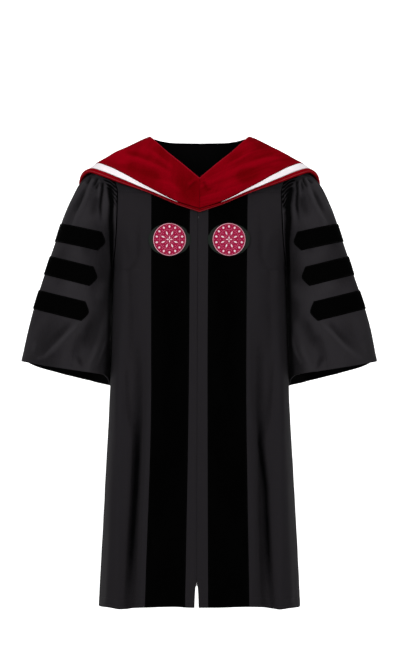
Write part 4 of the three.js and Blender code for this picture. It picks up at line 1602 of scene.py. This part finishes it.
def lay(shell: Shell, name: str, cut: Cut, over: Sheet | None = None, node: str = "") -> Sheet:
    """Args:
        shell: its form.
        name: its name, which is its node's and what it is made of.
        cut: what it is made of, and how it is held.
        over: the sheet that it rests on, if any.
        node: its node, where its name says another.

    Returns:
        The sheet.
    """
    piece, points = shell.build(name, cut.finish, cut.lining), shell.cloth.points
    wear(piece, node or name.rsplit("_", 1)[0])
    area, rests = flat_area(points), [over.piece.name] if over else []
    return Sheet(piece, shell.cloth)


def seam_fade(cloth: Cloth, edges: Sequence[Edge], reach: float) -> Array:
    """How free a cloth is to crease beside its edges.

    Args:
        cloth: the cloth.
        edges: the edges where it isn't free.
        reach: how far from them it is wholly free.

    Returns:
        A number from 0 to 1 for each point.
    """
    free = np.ones(cloth.points.shape[:2])
    for edge in edges:
        free = np.minimum(free, smooth(edge.distance(cloth.points), 0, reach))
    return free


@dataclass(frozen=True)
class Hem:
    """A turned-up hem, where the cloth is double and its stitches pull it in a little.

    Attributes:
        depth: how deep it is.
        extra: how much thicker the cloth is there.
        pull: how far its stitches pull the cloth in.
        pulled_width: how far from them that shows.
        step: half the width of the step where it ends.
    """

    depth: float
    extra: float
    pull: float = 0.5
    pulled_width: float = 3.0
    step: float = 1.5

    def pulled(self, cloth: Cloth, edge: Edge) -> Cloth:
        """A cloth with the hem's line of stitches drawn in."""
        return cloth.lifted(-self.pull * bell(edge.distance(cloth.points), self.depth, self.pulled_width))

    def thickness(self, cloth: Cloth, edge: Edge, single: float) -> Array:
        """How thick a cloth is that has this hem at an edge."""
        away = edge.distance(cloth.points)
        return single + self.extra * smooth(away, self.depth + self.step, self.depth - self.step)


HEM_CORNER_DROP, HEM_CORNER_X, HEM_CORNER_WIDTH = 4.6, 203.0, 24.0
HEM_WAVE, HEM_WAVE_LENGTH = 1.1, 31.0
# How strongly the fronts' folds are painted as shade and highlight, and how much of that fades towards the
# hem.
FRONT_CREASES, LOW_FADE = 0.72, 0.55
FRONT_STEPS = (8, 24, 6, 78, 8)


@dataclass
class Gown:
    """The gown's fronts, back and yoke, and the velvet panels laid on the fronts.

    Attributes:
        cloth: how thick the cloth is.
        hem: the hem at the bottom.
        seam_depth: how far the edges curve in at a seam.
        seam_width: how wide that curve is.
        overlap: how far the back's side edges lie over the fronts'.
        panel: how thick the velvet panels are.
        panel_clear: how far the panels stand clear of the fronts.
        back_folds: the pleats and folds of the back.
    """

    cloth: float = 1.2
    hem: Hem = Hem(24.0, 1.1)
    seam_depth: float = 1.5
    seam_width: float = 3.5
    overlap: float = 0.9
    panel: float = 1.5
    panel_clear: float = 0.7
    back_folds: BackFolds = field(default_factory=BackFolds)

    def heights(self) -> list[float]:
        """The heights of the fronts' and the back's rows, close together at the hem."""
        skirt = spaced((0, 0.006, 0.02, 0.034, 0.06, 0.0666, 1), (4, 3, 5, 5, 5, 84))
        return body_heights(skirt, spaced((0, 0.8, 1), (22, 12)))

    def sewn(self, net: Array, folds: Sequence[Fold], half: Half) -> Cloth:
        """A cloth with its folds, its unevenness, its rolled seams and its hem.

        Args:
            net: the smooth form's points.
            folds: the folds that show.
            half: the half of the body.

        Returns:
            The cloth.
        """
        beside = seam_fade(Cloth.of(net), (Edge.LAST_COLUMN,) if half is Half.FRONT else SIDE_EDGES, 18)
        height = beside * (folds_at(net, folds, half) + rumple(net, 210, 1.1, 3) + rumple(net, 70, 0.35, 4))
        cloth = Cloth.of(net).lifted(height).turned()
        return self.with_hem(cloth.rolled(SEWN_EDGES, self.seam_depth, self.seam_width))

    def with_hem(self, cloth: Cloth) -> Cloth:
        """A cloth whose first row is its hem, which drops at the sides and is a little wavy."""
        up, across = Edge.FIRST_ROW.distance(cloth.points), cloth.points[..., 0]
        pulled = self.hem.pulled(cloth, Edge.FIRST_ROW)
        drop = HEM_CORNER_DROP * bell(np.abs(across), HEM_CORNER_X, HEM_CORNER_WIDTH)
        drop += HEM_WAVE * np.sin(across / HEM_WAVE_LENGTH + 0.6) - HEM_WAVE
        drop *= smooth(up, 150, 0) * smooth(np.abs(across), 20, 60)
        dropped = pulled.points - np.array([0, 0, 1.0]) * drop[..., None]
        return Cloth(dropped, pulled.normals).rolled((Edge.FIRST_ROW,), 0.9, 2.2)

    def build_front(self, side: Side, yoke: Sheet) -> Sheet:
        """Makes a front."""
        columns = spaced((0, 1, 2, 2.06, 2.94, 3), FRONT_STEPS)
        net = front_net(side, columns, self.heights())
        cloth = self.sewn(net, both_sides(FRONT_BODY_FOLDS, side), Half.FRONT)
        # The fronts' folds are painted as shade and highlight, more faintly towards the hem.
        faint = 1 - LOW_FADE * smooth(-cloth.points[..., 2], 1000, 1200)
        creases = FRONT_CREASES * cloth.relief(RELIEF_REACH) * faint
        shell = Shell(cloth, self.hem.thickness(cloth, Edge.FIRST_ROW, self.cloth), creases)
        return lay(shell, f"front_{side.word}_cloth", HUNG, yoke)

    def build_panel(self, side: Side, front: Sheet) -> Sheet:
        """Makes the velvet panel that lies on a front, between the first steps of its columns."""
        start, count = FRONT_STEPS[:2]
        under = slice(start, start + count + 1)
        on = Cloth(front.face.points[:, under], front.face.normals[:, under])
        lifted = refined(on, np.linspace(0, count, 2 * count + 1)).lifted(self.panel_clear + self.panel)
        shell = Shell(lifted.rolled(tuple(Edge), self.panel, 3.2), self.panel)
        return lay(shell, f"panel_{side.word}_velvet", TRIM, front)

    def build_side(self, side: Side, yoke: Sheet) -> None:
        """Makes a front with its panel and their stitches."""
        front = self.build_front(side, yoke)
        panel = self.build_panel(side, front)
        hem, opening = (front, Edge.FIRST_ROW, self.hem.depth), (front, Edge.FIRST_COLUMN, 8.0)
        sew(f"front_{side.word}_stitches", BLACK_THREAD, hem, opening)
        sew(f"panel_{side.word}_stitches", VELVET_THREAD, *((panel, edge, 3.0) for edge in SIDE_EDGES))

    def build_back(self, yoke: Sheet) -> Sheet:
        """Makes the back."""
        net = back_net(spaced((0, 0.02, 0.98, 1), (6, 230, 6)), self.heights(), self.back_folds)
        cloth = self.sewn(net, BACK_BODY_FOLDS, Half.BACK)
        for edge in (0, -1):
            below = smooth(-cloth.points[:, edge, 2], -UNDERARM_Z, 20 - UNDERARM_Z)
            cloth.points[:, edge, 1] -= self.overlap * below
        shell = Shell(cloth, self.hem.thickness(cloth, Edge.FIRST_ROW, self.cloth))
        return lay(shell, "back_cloth", GATHERED, yoke)

    def build_slider(self) -> None:
        """Makes the small slider at the top of the front zip."""
        z = np.array([-196.0, -198.3, -200.6])
        y = -float(BODY.read("front", z[1])) - 0.6
        path = np.stack([FRONT_EDGES.read("opening", z) + 1.6, np.full(3, y), z], 1)
        wear(Braid(path, np.tile([0.0, -1.0, 0.0], (3, 1)), 2.6, 1.6).build("zip_slider", ZIP_METAL))

    def build_yoke(self) -> Sheet:
        """Makes the yoke, which hangs on the shoulders."""
        places = spaced((-3, -2, -1, 0, 1, 2, 3), (26, 44, 34, 34, 44, 26))
        cloth = Cloth.of(yoke_net(places, np.linspace(0, 1, 34)))
        for edges in (END_EDGES, SIDE_EDGES):
            cloth = cloth.rolled(edges, self.seam_depth, self.seam_width)
        return lay(Shell(cloth, self.cloth), "yoke_cloth", HUNG)


def refined(cloth: Cloth, columns: Array) -> Cloth:
    """A cloth read at places between its columns, counted in columns."""
    low = np.clip(np.floor(columns).astype(int), 0, cloth.points.shape[1] - 2)
    share = (columns - low)[None, :, None]
    points, normals = (mix(net[:, low], net[:, low + 1], share) for net in (cloth.points, cloth.normals))
    return Cloth(points, unit(normals))


def line_in(cloth: Cloth, edge: Edge, distance: float) -> tuple[Array, Array]:
    """The line that runs at a distance from an edge of a cloth.

    Args:
        cloth: the cloth.
        edge: the edge that the line follows.
        distance: how far from the edge it runs.

    Returns:
        The points along the line, and the cloth's normals there.
    """
    axis, last = edge.value
    away, both = edge.distance(cloth.points), np.concatenate([cloth.points, cloth.normals], 2)
    if axis == 1:
        away, both = away.T, both.swapaxes(0, 1)
    if last:
        away, both = away[::-1], both[::-1]
    found = [[np.interp(distance, away[:, j], both[:, j, k]) for k in range(6)] for j in range(away.shape[1])]
    line = np.array(found)
    return line[:, :3], line[:, 3:]


def sew(name: str, finish: Finish, *lines: tuple[Sheet, Edge, float]) -> None:
    """Sews rows of stitches.

    Args:
        name: the piece's name.
        finish: the thread.
        lines: the sheet, the edge and the distance from it for each row.
    """
    sewing = Sewing()
    for sheet, edge, distance in lines:
        sewing.run(*line_in(sheet.face, edge, distance))
    wear(sewing.build(name, finish))


@dataclass(frozen=True)
class HeadGathers:
    """The uneven small gathers that run down from the armhole where the drawn folds leave room.

    Attributes:
        count: how many there are round the sleeve's head.
        turn: how far from the outer fold they reach.
        shown_turn: the turn past which the listed folds stand in front instead.
        girth: the sleeve's width round, to turn turns into lengths.
        seed: which of many such patterns to take.
    """

    count: int = 36
    turn: float = 0.31
    shown_turn: float = 0.06
    girth: float = 700.0
    seed: int = 21

    def at(self, turns: Array, v: Array) -> Array:
        """How far they stand out at turns and places along the sleeve."""
        rng = np.random.default_rng(self.seed)
        total = np.zeros(turns.shape)
        for place in np.linspace(-self.turn, self.turn, self.count):
            centre, lean = place + rng.uniform(-0.006, 0.006), rng.uniform(-0.04, 0.04)
            rise, width, reach = rng.uniform(-3.0, 3.4), rng.uniform(3.4, 7.5), rng.uniform(0.14, 0.5)
            across = (turns - centre - lean * v) * self.girth
            along = smooth(v, 0, 0.025) * (1 - smooth(v, 0.35 * reach, reach))
            total += rise * along * np.exp(-((across / width) ** 2))
        return total * (1 - smooth(turns, self.shown_turn - 0.03, self.shown_turn + 0.03))


def either_way(turns: Array) -> Array:
    """Turns from the outer fold, less than 0 where that is the nearer way round."""
    return np.where(turns > 0.5, turns - 1, turns)


@dataclass(frozen=True)
class Bar:
    """A velvet bar on a sleeve.

    Attributes:
        name: the bar's node, without its side.
        slope: how fast it rises outwards.
        top: the height of its upper edge, carried on to the middle of the body.
        bottom: the same for its lower edge.
        tip: how far from the middle of the body its ends reach.
    """

    name: str
    slope: float
    top: float
    bottom: float
    tip: float

    def end(self, share: Array) -> Array:
        """How far from the middle of the body its end is, by share of the way down."""
        return self.tip + 18 * (np.sqrt((2 * share - 1) ** 2 + 0.08) - 0.283) + 10 * (share - 0.5)


BARS = (
    Bar("bar_top", 0.22, -289.7, -339.7, 242.0),
    Bar("bar_middle", 0.25, -391.7, -443.6, 262.5),
    Bar("bar_bottom", 0.245, -484.5, -536.6, 283.3),
)


@dataclass
class Sleeve:
    """One sleeve with its under sleeve and its three velvet bars.

    Attributes:
        side: the wearer's side.
        cloth: how thick the cloth is.
        bar: how thick the bars are.
        bar_clear: how far the bars stand clear of the sleeve.
        seam_depth: how far its edges curve in at the long seams.
        fluting: how wide the band of fine flutes at the armhole is.
        hem: the hem at the cuff.
        deepest: how far in a fold may go, so that it stays clear of the body.
        folds: the gathers of the solid's head, and its broad folds.
        gathers: the small gathers of the cloth alone.
    """

    side: Side
    cloth: float = 1.2
    bar: float = 1.3
    bar_clear: float = 1.0
    seam_depth: float = 0.5
    fluting: float = 25.0
    hem: Hem = Hem(22.0, 1.0)
    deepest: float = -6.0
    folds: SleeveFolds = field(default_factory=SleeveFolds)
    gathers: HeadGathers = field(default_factory=HeadGathers)

    def face(self, turns: Array) -> tuple[Cloth, Array]:
        """The outer face at turns from the outer fold, and how far its folds stand out."""
        rows = spaced((0, 0.012, 0.08, 0.2, 0.94, 0.985, 1), (6, 20, 26, 76, 6, 4))
        core = (self.side.value * 290.0, 0.0, -330.0)
        net = sleeve_net(self.side, turns, rows, self.folds)
        free = smooth(Edge.FIRST_ROW.distance(net), 0, 6)
        height = folds_at(net, both_sides(SLEEVE_FRONT_FOLDS, self.side), Half.FRONT)
        height += folds_at(net, both_sides(SLEEVE_BACK_FOLDS, self.side), Half.BACK)
        turn, v = np.meshgrid(either_way(turns), rows)
        height += self.gathers.at(turn, v) + rumple(net, 150, 1.2, 5) + rumple(net, 55, 0.35, 6)
        return Cloth.of(net, core).lifted(np.maximum(height, self.deepest) * free).turned(core), height * free

    def build_cloth(self, name: str, start: float, end: float, count: int, cut: Cut, over: Sheet) -> Sheet:
        """Makes the sleeve or the under sleeve.

        Args:
            name: the node that it replaces, without its side.
            start: the turn where it starts.
            end: the turn where it ends.
            count: how many columns it has.
            cut: what it is made of, and how it is held.
            over: the sheet that it is sewn to.

        Returns:
            The sheet.
        """
        seam = 0.006
        first = start + seam * np.array([0, 0.3, 0.6])
        last = end - seam + seam * np.array([0.4, 0.7, 1])
        turns = np.concatenate([first, np.linspace(start + seam, end - seam, count), last])
        # The folds' heights also set the cloth's painted shade and highlight.
        face, creases = self.face(turns)
        cloth = face.rolled(SIDE_EDGES, self.seam_depth, 2.2).rolled((Edge.FIRST_ROW,), 1.6, 3.2)
        thick = self.hem.thickness(cloth, Edge.LAST_ROW, self.cloth)
        cloth = self.hem.pulled(cloth, Edge.LAST_ROW).rolled((Edge.LAST_ROW,), 0.9, 2.2)
        head = 1 - smooth(Edge.FIRST_ROW.distance(face.points), self.fluting - 5, self.fluting + 2)
        fluted = head * (1 - smooth(np.abs(turns), 0.2, 0.23))[None]
        return lay(Shell(cloth, thick, creases, fluted), f"{name}_{self.side.word}_cloth", cut, over)

    def build_bar(self, bar: Bar, over: Sheet) -> None:
        """Makes a velvet bar with its stitches, which lies on the sleeve with all its folds."""
        turns = np.linspace(-0.46, 0.46, 420)
        face, _ = self.face(turns)
        level = face.points[..., 2] - bar.slope * np.abs(face.points[..., 0])
        steps = spaced((0, 0.006, 0.03, 0.97, 0.994, 1), (3, 5, 110, 5, 3))
        both = np.concatenate([face.points, face.normals], 2)
        rows = []
        for share in spaced((0, 0.06, 0.94, 1), (3, 12, 3)):
            target = mix(bar.top, bar.bottom, share)
            edge = np.stack([crossing(level[:, j], both[:, j], target) for j in range(len(turns))])
            reach, end = np.abs(edge[:, 0]), float(bar.end(share))
            at = mix(end_turn(turns, reach, end, -1), end_turn(turns, reach, end, 1), steps)
            rows.append(np.stack([np.interp(at, turns, edge[:, k]) for k in range(6)], 1))
        grid = np.stack(rows)
        lifted = Cloth(grid[..., :3], unit(grid[..., 3:])).lifted(self.bar_clear + self.bar)
        shell = Shell(lifted.rolled(tuple(Edge), self.bar, 3.0), self.bar)
        name = f"{bar.name}_{self.side.word}"
        made = lay(shell, f"{name}_velvet", TRIM, over)
        sew(f"{name}_stitches", VELVET_THREAD, *((made, edge, 3.2) for edge in Edge))

    def build(self, yoke: Sheet) -> None:
        """Makes the sleeve, the under sleeve, the cuff's stitches and the bars."""
        outer = self.build_cloth("sleeve", -SEAM_TURN, SEAM_TURN, 220, SLEEVE_GATHERED, yoke)
        under = self.build_cloth("under_sleeve", SEAM_TURN, 1 - SEAM_TURN, 76, SLEEVE_HUNG, outer)
        cuffs = ((sheet, Edge.LAST_ROW, self.hem.depth) for sheet in (outer, under))
        sew(f"cuff_{self.side.word}_stitches", BLACK_THREAD, *cuffs)
        for bar in BARS:
            self.build_bar(bar, outer)


def crossing(level: Array, values: Array, target: float) -> Array:
    """The values where a falling level passes a target.

    Args:
        level: the levels down a column.
        values: the values down the column.
        target: the level looked for.

    Returns:
        The values there.
    """
    below = int(np.argmax(level < target))
    above = max(below - 1, 0)
    share = (level[above] - target) / max(level[above] - level[above + 1], 1e-9)
    return mix(values[above], values[above + 1], min(max(share, 0), 1))


def end_turn(turns: Array, reach: Array, end: float, sense: int) -> float:
    """The turn where a bar ends.

    Args:
        turns: turns from the outer fold.
        reach: how far from the middle of the body the bar is at each.
        end: how far from there its end is.
        sense: -1 to go round behind, 1 in front.

    Returns:
        The turn.
    """
    along = turns * sense
    used = (along > 0.1) & (along < 0.45)
    order = np.argsort(along[used])
    away, out = along[used][order], reach[used][order]
    return sense * float(np.interp(-end, -out, away)) if out[-1] < end else sense * float(away[-1])


@dataclass
class Hood:
    """The hood: its velvet, its turned-out satin lining and its velvet rim.

    Attributes:
        velvet: how thick the velvet is.
        satin: how thick the lining is.
        rim: how thick the rim's velvet is.
        columns: how many columns each band has.
        piping: how thick the piping is.
        groove: where the piping lies, as a share of the way across the rim.
        roll: how far the rim stands out between the satin and the piping.
        turn_under: how far down the rim's edge is turned.
        turn_under_tip: the same over the shoulders.
        neck_edge: how thick the rolled edge of the neckline is.
    """

    velvet: float = 1.6
    satin: float = 1.2
    rim: float = 1.0
    columns: int = 300
    piping: float = 1.2
    groove: float = 0.72
    roll: float = 2.4
    turn_under: float = 5.0
    turn_under_tip: float = 13.0
    neck_edge: float = 3.4

    def places(self, end: float) -> Array:
        """Places round the hood up to a station from the back."""
        return np.linspace(-end, end, self.columns + 1)

    def build_velvet(self, yoke: Sheet) -> Sheet:
        """Makes the velvet that lies round the neck."""
        net = hood_net(self.places(HOOD_LAST), spaced((0, 0.04, 0.96, 1), (5, 36, 5)), None, "velvet")
        height = folds_at(net, [*HOOD_FOLDS, *both_sides(HOOD_FOLDS, Side.LEFT)], Half.FRONT)
        height += rumple(net, 90, 1.3, 8) + rumple(net, 34, 0.3, 9)
        height *= seam_fade(Cloth.of(net), (Edge.LAST_ROW,), 20)
        cloth = Cloth.of(net).lifted(height).turned().rolled((Edge.FIRST_ROW,), 3.0, 5.0)
        cloth = cloth.rolled((Edge.LAST_ROW,), 1.2, 3.0).rolled(SIDE_EDGES, 0.4, 1.2)
        cut = Cut(HOOD_VELVET, HOOD_BACKING, "draped")
        # Its folds' heights set the velvet's painted shade and highlight.
        return lay(Shell(cloth, self.velvet, height), "hood_velvet_cloth", cut, yoke)

    def build_lining(self, velvet: Sheet) -> Sheet:
        """Makes the satin, turned out between the velvet and the rim."""
        net = hood_net(self.places(HOOD_LAST - 1), spaced((0, 0.1, 0.9, 1), (3, 12, 3)), "velvet", "lining")
        cloth = Cloth.of(net)
        cloth = cloth.lifted((rumple(net, 60, 0.7, 11) - 0.8) * seam_fade(cloth, END_EDGES, 5))
        shell = Shell(cloth.rolled(END_EDGES, 1.5, 2.5), self.satin)
        cut = Cut(WHITE_SATIN, HOOD_BACKING, "draped")
        return lay(shell, "hood_satin_cloth", cut, velvet, "hood_lining")

    def build_rim(self, lining: Sheet) -> None:
        """Makes the rim: a soft roll, a groove with the piping in it, and an edge turned under."""
        places = self.places(HOOD_LAST)
        shares = spaced((0, self.groove, 1), (GROOVE_ROW, 8))
        net = hood_net(places, shares, "lining", None)
        roll = self.roll * np.sqrt(np.maximum(0, np.sin(math.pi * np.minimum(shares / self.groove, 1))))
        low = self.roll / 2 * np.sin(math.pi * np.clip((shares - self.groove) / (1 - self.groove), 0, 1))
        uneven = rumple(net, 80, 0.5, 12) * roll[:, None] / self.roll
        face = Cloth.of(net).lifted((roll + low)[:, None] + uneven).turned()
        edge, out = face.points[-1], unit(face.points[-1] - face.points[-3])
        stations = HOOD_LAST - np.abs(places)
        over_shoulder = smooth(stations, 4.1, 4.6) * smooth(stations, 6.2, 5.6)
        drop = mix(self.turn_under, self.turn_under_tip, over_shoulder)[:, None]
        down = face.normals[-1] * drop / 2
        angles = np.linspace(0, math.pi, 9)[1:]
        under = [edge + out * 1.4 * math.sin(angle) - down * (1 - math.cos(angle)) for angle in angles]
        under.append(under[-1] - out * 6)
        normals = np.concatenate([face.normals, face.normals[-1:].repeat(len(under), 0)])
        whole = Cloth(np.concatenate([face.points, np.stack(under)]), normals).turned()
        lay(Shell(whole, self.rim), "hood_rim_cloth", Cut(RIM_VELVET, HOOD_BACKING, "draped"), lining)
        path, normals = face.points[GROOVE_ROW], face.normals[GROOVE_ROW]
        wear(Braid(path + normals * 0.5, normals, self.piping, self.piping).build("hood_piping_cord", PIPING))

    def build_neck_edge(self) -> None:
        """Makes the rolled edge of the neckline, in a lighter red that paints a highlight along it."""
        face = Cloth.of(hood_net(self.places(HOOD_LAST), np.array([0.0, 0.01, 0.02]), None, "velvet"))
        path, normals = face.points[1] - face.normals[1] * 0.7, face.normals[1]
        wear(Braid(path, normals, self.neck_edge, self.neck_edge).build("hood_neck_edge", NECK_HIGHLIGHT_VELVET))

    def build(self, yoke: Sheet) -> None:
        """Makes the whole hood."""
        velvet = self.build_velvet(yoke)
        self.build_rim(self.build_lining(velvet))
        self.build_neck_edge()
        sew("hood_velvet_stitches", RED_THREAD, (velvet, Edge.LAST_ROW, 4.0))


# The badges


class Shape(Enum):
    """The outline of an embroidered motif, by how fast it narrows towards its ends."""

    DOT = 0.5
    LEAF = 1.0
    LOZENGE = 1.6


@dataclass(frozen=True)
class Motif:
    """A small embroidered shape.

    Attributes:
        shape: what it looks like.
        radius: how far its middle is from the badge's middle.
        angle: in which direction it lies, in radians.
        length: its length away from the badge's middle.
        width: its width.
    """

    shape: Shape
    radius: float
    angle: float
    length: float
    width: float

    def outline(self) -> Array:
        """The points of its outline, from the badge's middle."""
        turn = np.arange(12) * TURN / 12
        along = np.cos(turn) * self.length / 2
        across = signed_power(np.sin(turn), 2 * self.shape.value) * self.width / 2
        ahead = np.array([math.cos(self.angle), math.sin(self.angle)])
        aside = np.array([-ahead[1], ahead[0]])
        return ahead * (self.radius + along)[:, None] + aside * across[:, None]


def motif_ring(
    shape: Shape, count: int, radius: float, length: float, width: float, start: float = 0.0
) -> list[Motif]:
    """A ring of like motifs, turned by a share of their spacing."""
    return [Motif(shape, radius, (k + start) * TURN / count, length, width) for k in range(count)]


MOTIFS = (
    *motif_ring(Shape.LOZENGE, 14, 33.0, 7.8, 6.0, 0.5),
    *motif_ring(Shape.LEAF, 8, 17.6, 10.8, 4.4, 0.5),
    *motif_ring(Shape.LEAF, 4, 4.6, 7.6, 3.6),
)
RINGS = (
    ("border", 40.6, 1.0, PALE_THREAD),
    ("inner", 25.6, 0.8, PINK_THREAD),
    ("middle", 10.6, 0.8, PINK_THREAD),
)
FINE_MOTIFS = (
    *motif_ring(Shape.DOT, 14, 36.8, 1.9, 1.9),
    *motif_ring(Shape.DOT, 14, 29.2, 1.9, 1.9),
    *motif_ring(Shape.DOT, 8, 21.6, 2.2, 2.2),
    *motif_ring(Shape.DOT, 8, 14.2, 1.6, 1.6),
    *motif_ring(Shape.DOT, 4, 7.0, 1.8, 1.8, 0.5),
)


@dataclass
class Badge:
    """A round embroidered badge on an oval patch, on a velvet panel.

    Attributes:
        side: the wearer's side.
        x: how far its middle is from the middle of the body.
        z: its height.
        radius: the badge's radius.
        patch: the half width and half height of the patch.
    """

    side: Side
    x: float
    z: float = -255.0
    radius: float = 42.0
    patch: tuple[float, float] = (54.0, 42.0)

    def disc(self, half_width: float, half_height: float, lift: float, cells: int) -> Cloth:
        """A round or oval net that lies on the front.

        Args:
            half_width: half of its width.
            half_height: half of its height.
            lift: how far it stands off the front.
            cells: how many rows and columns it has.

        Returns:
            The net.
        """
        a, b = np.meshgrid(np.linspace(-1, 1, cells), np.linspace(-1, 1, cells))
        across = self.x + half_width * a * np.sqrt(1 - b * b / 2)
        up = self.z + half_height * b * np.sqrt(1 - a * a / 2)
        return self.on_front(across, up).lifted(lift)

    def on_front(self, across: Array, up: Array) -> Cloth:
        """Places on the front's form, with its normals."""
        points, normals = np.zeros((*across.shape, 3)), np.zeros((*across.shape, 3))
        for index in np.ndindex(across.shape):
            section = Section(float(up[index]), Half.FRONT)
            points[index] = section.at_x(np.array([across[index]]))[0]
            normals[index] = section.facing(points[index][None])[0]
        return Cloth(points, normals)

    def build(self) -> None:
        """Makes the patch, the badge, its raised rings and the motifs between them."""
        patch = self.disc(*self.patch, 3.4, 41).rolled(tuple(Edge), 0.9, 2.0)
        wear(Shell(patch, 1.1).build(f"patch_{self.side.word}_felt", PATCH_FELT), f"patch_{self.side.word}")
        name = f"badge_{self.side.word}"
        disc = self.disc(self.radius, self.radius, 5.0, 49).rolled(tuple(Edge), 1.1, 2.2)
        wear(Shell(disc, 1.5).build(f"{name}_twill", BADGE_TWILL), name)
        angles = np.linspace(0, TURN, 96, endpoint=False)
        made = []
        for ring, radius, width, thread in RINGS:
            on = self.on_front(self.x + radius * np.cos(angles), self.z + radius * np.sin(angles))
            braid = Braid(on.points + on.normals * 5.1, on.normals, width, 1.1, looped=True, sides=6)
            made.append(braid.build(f"{name}_{ring}_ring", thread))
        made.append(self.raised(f"{name}_embroidery", MOTIFS, PALE_THREAD))
        made.append(self.raised(f"{name}_fine_embroidery", FINE_MOTIFS, PINK_THREAD))
        for piece in made:
            wear(piece)

    def raised(self, name: str, motifs: Sequence[Motif], thread: Finish) -> Object:
        """Makes low cushions of thread on the badge.

        Args:
            name: the piece's name.
            motifs: the shapes to embroider.
            thread: the thread that they are made of.

        Returns:
            The piece.
        """
        points, faces, used = [], [], 0
        for motif in motifs:
            outline = motif.outline()
            centre = motif.radius * np.array([math.cos(motif.angle), math.sin(motif.angle)])
            count = len(outline)
            inner = centre + (outline - centre) * 0.6
            flat = np.concatenate([outline, inner, centre[None], centre[None]])
            lift = np.concatenate([np.full(count, 4.9), np.full(count, 5.55), [5.7], [4.8]])
            on = self.on_front(self.x + flat[:, 0], self.z + flat[:, 1])
            points.append(on.points + on.normals * lift[:, None])
            a, b = np.arange(count), np.roll(np.arange(count), -1)
            top, base = np.full(count, 2 * count), np.full(count, 2 * count + 1)
            shape = [(a, b, b + count), (a, b + count, a + count), (a + count, b + count, top), (b, a, base)]
            faces.extend(np.stack(corners, 1) + used for corners in shape)
            used += 2 * count + 2
        return dressed(mesh_object(name, np.concatenate(points), np.concatenate(faces)), thread)


# The studio


@dataclass
class Studio:
    """A pale floor, a backdrop that curves up behind it, soft lights and the camera.

    Attributes:
        floor: the floor's height, in metres.
        lens: the camera's focal length, in millimetres.
        aim: the point that the lights face, in metres.
    """

    floor: float = -1.42
    lens: float = 138.25
    aim: tuple[float, float, float] = (0.0, 0.0, -0.5)

    def build(self) -> None:
        """Makes the stage, the lights and the camera."""
        scene = bpy.context.scene
        scene.view_settings.view_transform = "Standard"
        self.build_stage()
        self.light("key", (-2.7, -3.3, 1.7), 1.5, 86.0)
        self.light("fill", (2.9, -3.2, 1.3), 1.8, 56.0)
        self.light("top", (0.0, -0.6, 2.6), 1.6, 30.0)
        world = bpy.data.worlds.new("studio")
        world.use_nodes = True
        background = world.node_tree.nodes["Background"]
        background.inputs["Color"].default_value = (1, 1, 1, 1)
        background.inputs["Strength"].default_value = 0.3
        scene.world = world
        lens = bpy.data.cameras.new("camera")
        lens.sensor_fit = "AUTO"
        lens.sensor_width = 36.0
        lens.lens = self.lens
        lens.clip_end = 100.0
        camera = bpy.data.objects.new("camera", lens)
        camera.location = (CAMERA_X * MM, -CAMERA_DISTANCE * MM, CAMERA_Z * MM)
        camera.rotation_euler = (math.radians(90), 0, 0)
        scene.collection.objects.link(camera)
        scene.camera = camera

    def build_stage(self) -> None:
        """Makes the floor, and a glowing backdrop that curves up from it."""
        angles = np.linspace(0, math.pi / 2, 13)
        bend = [(16.0 + 1.5 * math.sin(a), self.floor + 1.5 * (1 - math.cos(a))) for a in angles]
        behind = (0.65, self.floor)
        floor, backdrop = [(-16.0, self.floor), behind], [behind, *bend, (17.5, 9.0)]
        for name, finish, profile in (("floor", FLOOR, floor), ("backdrop", BACKDROP, backdrop)):
            points = np.array([(x, y, z) for y, z in profile for x in (-16.0, 16.0)]) / MM
            i = np.arange(len(profile) - 1) * 2
            sheet = mesh_object(name, points, np.stack([i, i + 1, i + 3, i + 2], 1))
            sheet.data.materials.append(finish.material())

    def light(self, name: str, place: tuple[float, float, float], size: float, power: float) -> None:
        """Adds a soft square light.

        Args:
            name: the light's name.
            place: where it stands, in metres.
            size: the length of its side.
            power: how strong it is, in watts.
        """
        lamp = bpy.data.lights.new(name, "AREA")
        lamp.size, lamp.energy = size, power
        made = bpy.data.objects.new(name, lamp)
        made.location = place
        aim = np.array(self.aim) - np.array(place)
        flat = math.hypot(aim[0], aim[1])
        made.rotation_euler = (math.atan2(flat, -aim[2]), 0, math.atan2(aim[1], aim[0]) - math.pi / 2)
        bpy.context.scene.collection.objects.link(made)


def main() -> None:
    """Builds the garment and the studio."""
    logging.basicConfig(level=logging.INFO, format="%(message)s")
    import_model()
    Studio().build()
    gown = Gown()
    yoke = gown.build_yoke()
    back = gown.build_back(yoke)
    sew("yoke_stitches", BLACK_THREAD, (yoke, Edge.LAST_ROW, 4.5))
    sew("back_hem_stitches", BLACK_THREAD, (back, Edge.FIRST_ROW, gown.hem.depth))
    for side in Side:
        gown.build_side(side, yoke)
        Sleeve(side).build(yoke)
    Hood().build(yoke)
    gown.build_slider()
    for side, x in ((Side.RIGHT, -76.2), (Side.LEFT, 75.2)):
        Badge(side, x).build()


if __name__ == "__main__":
    main()
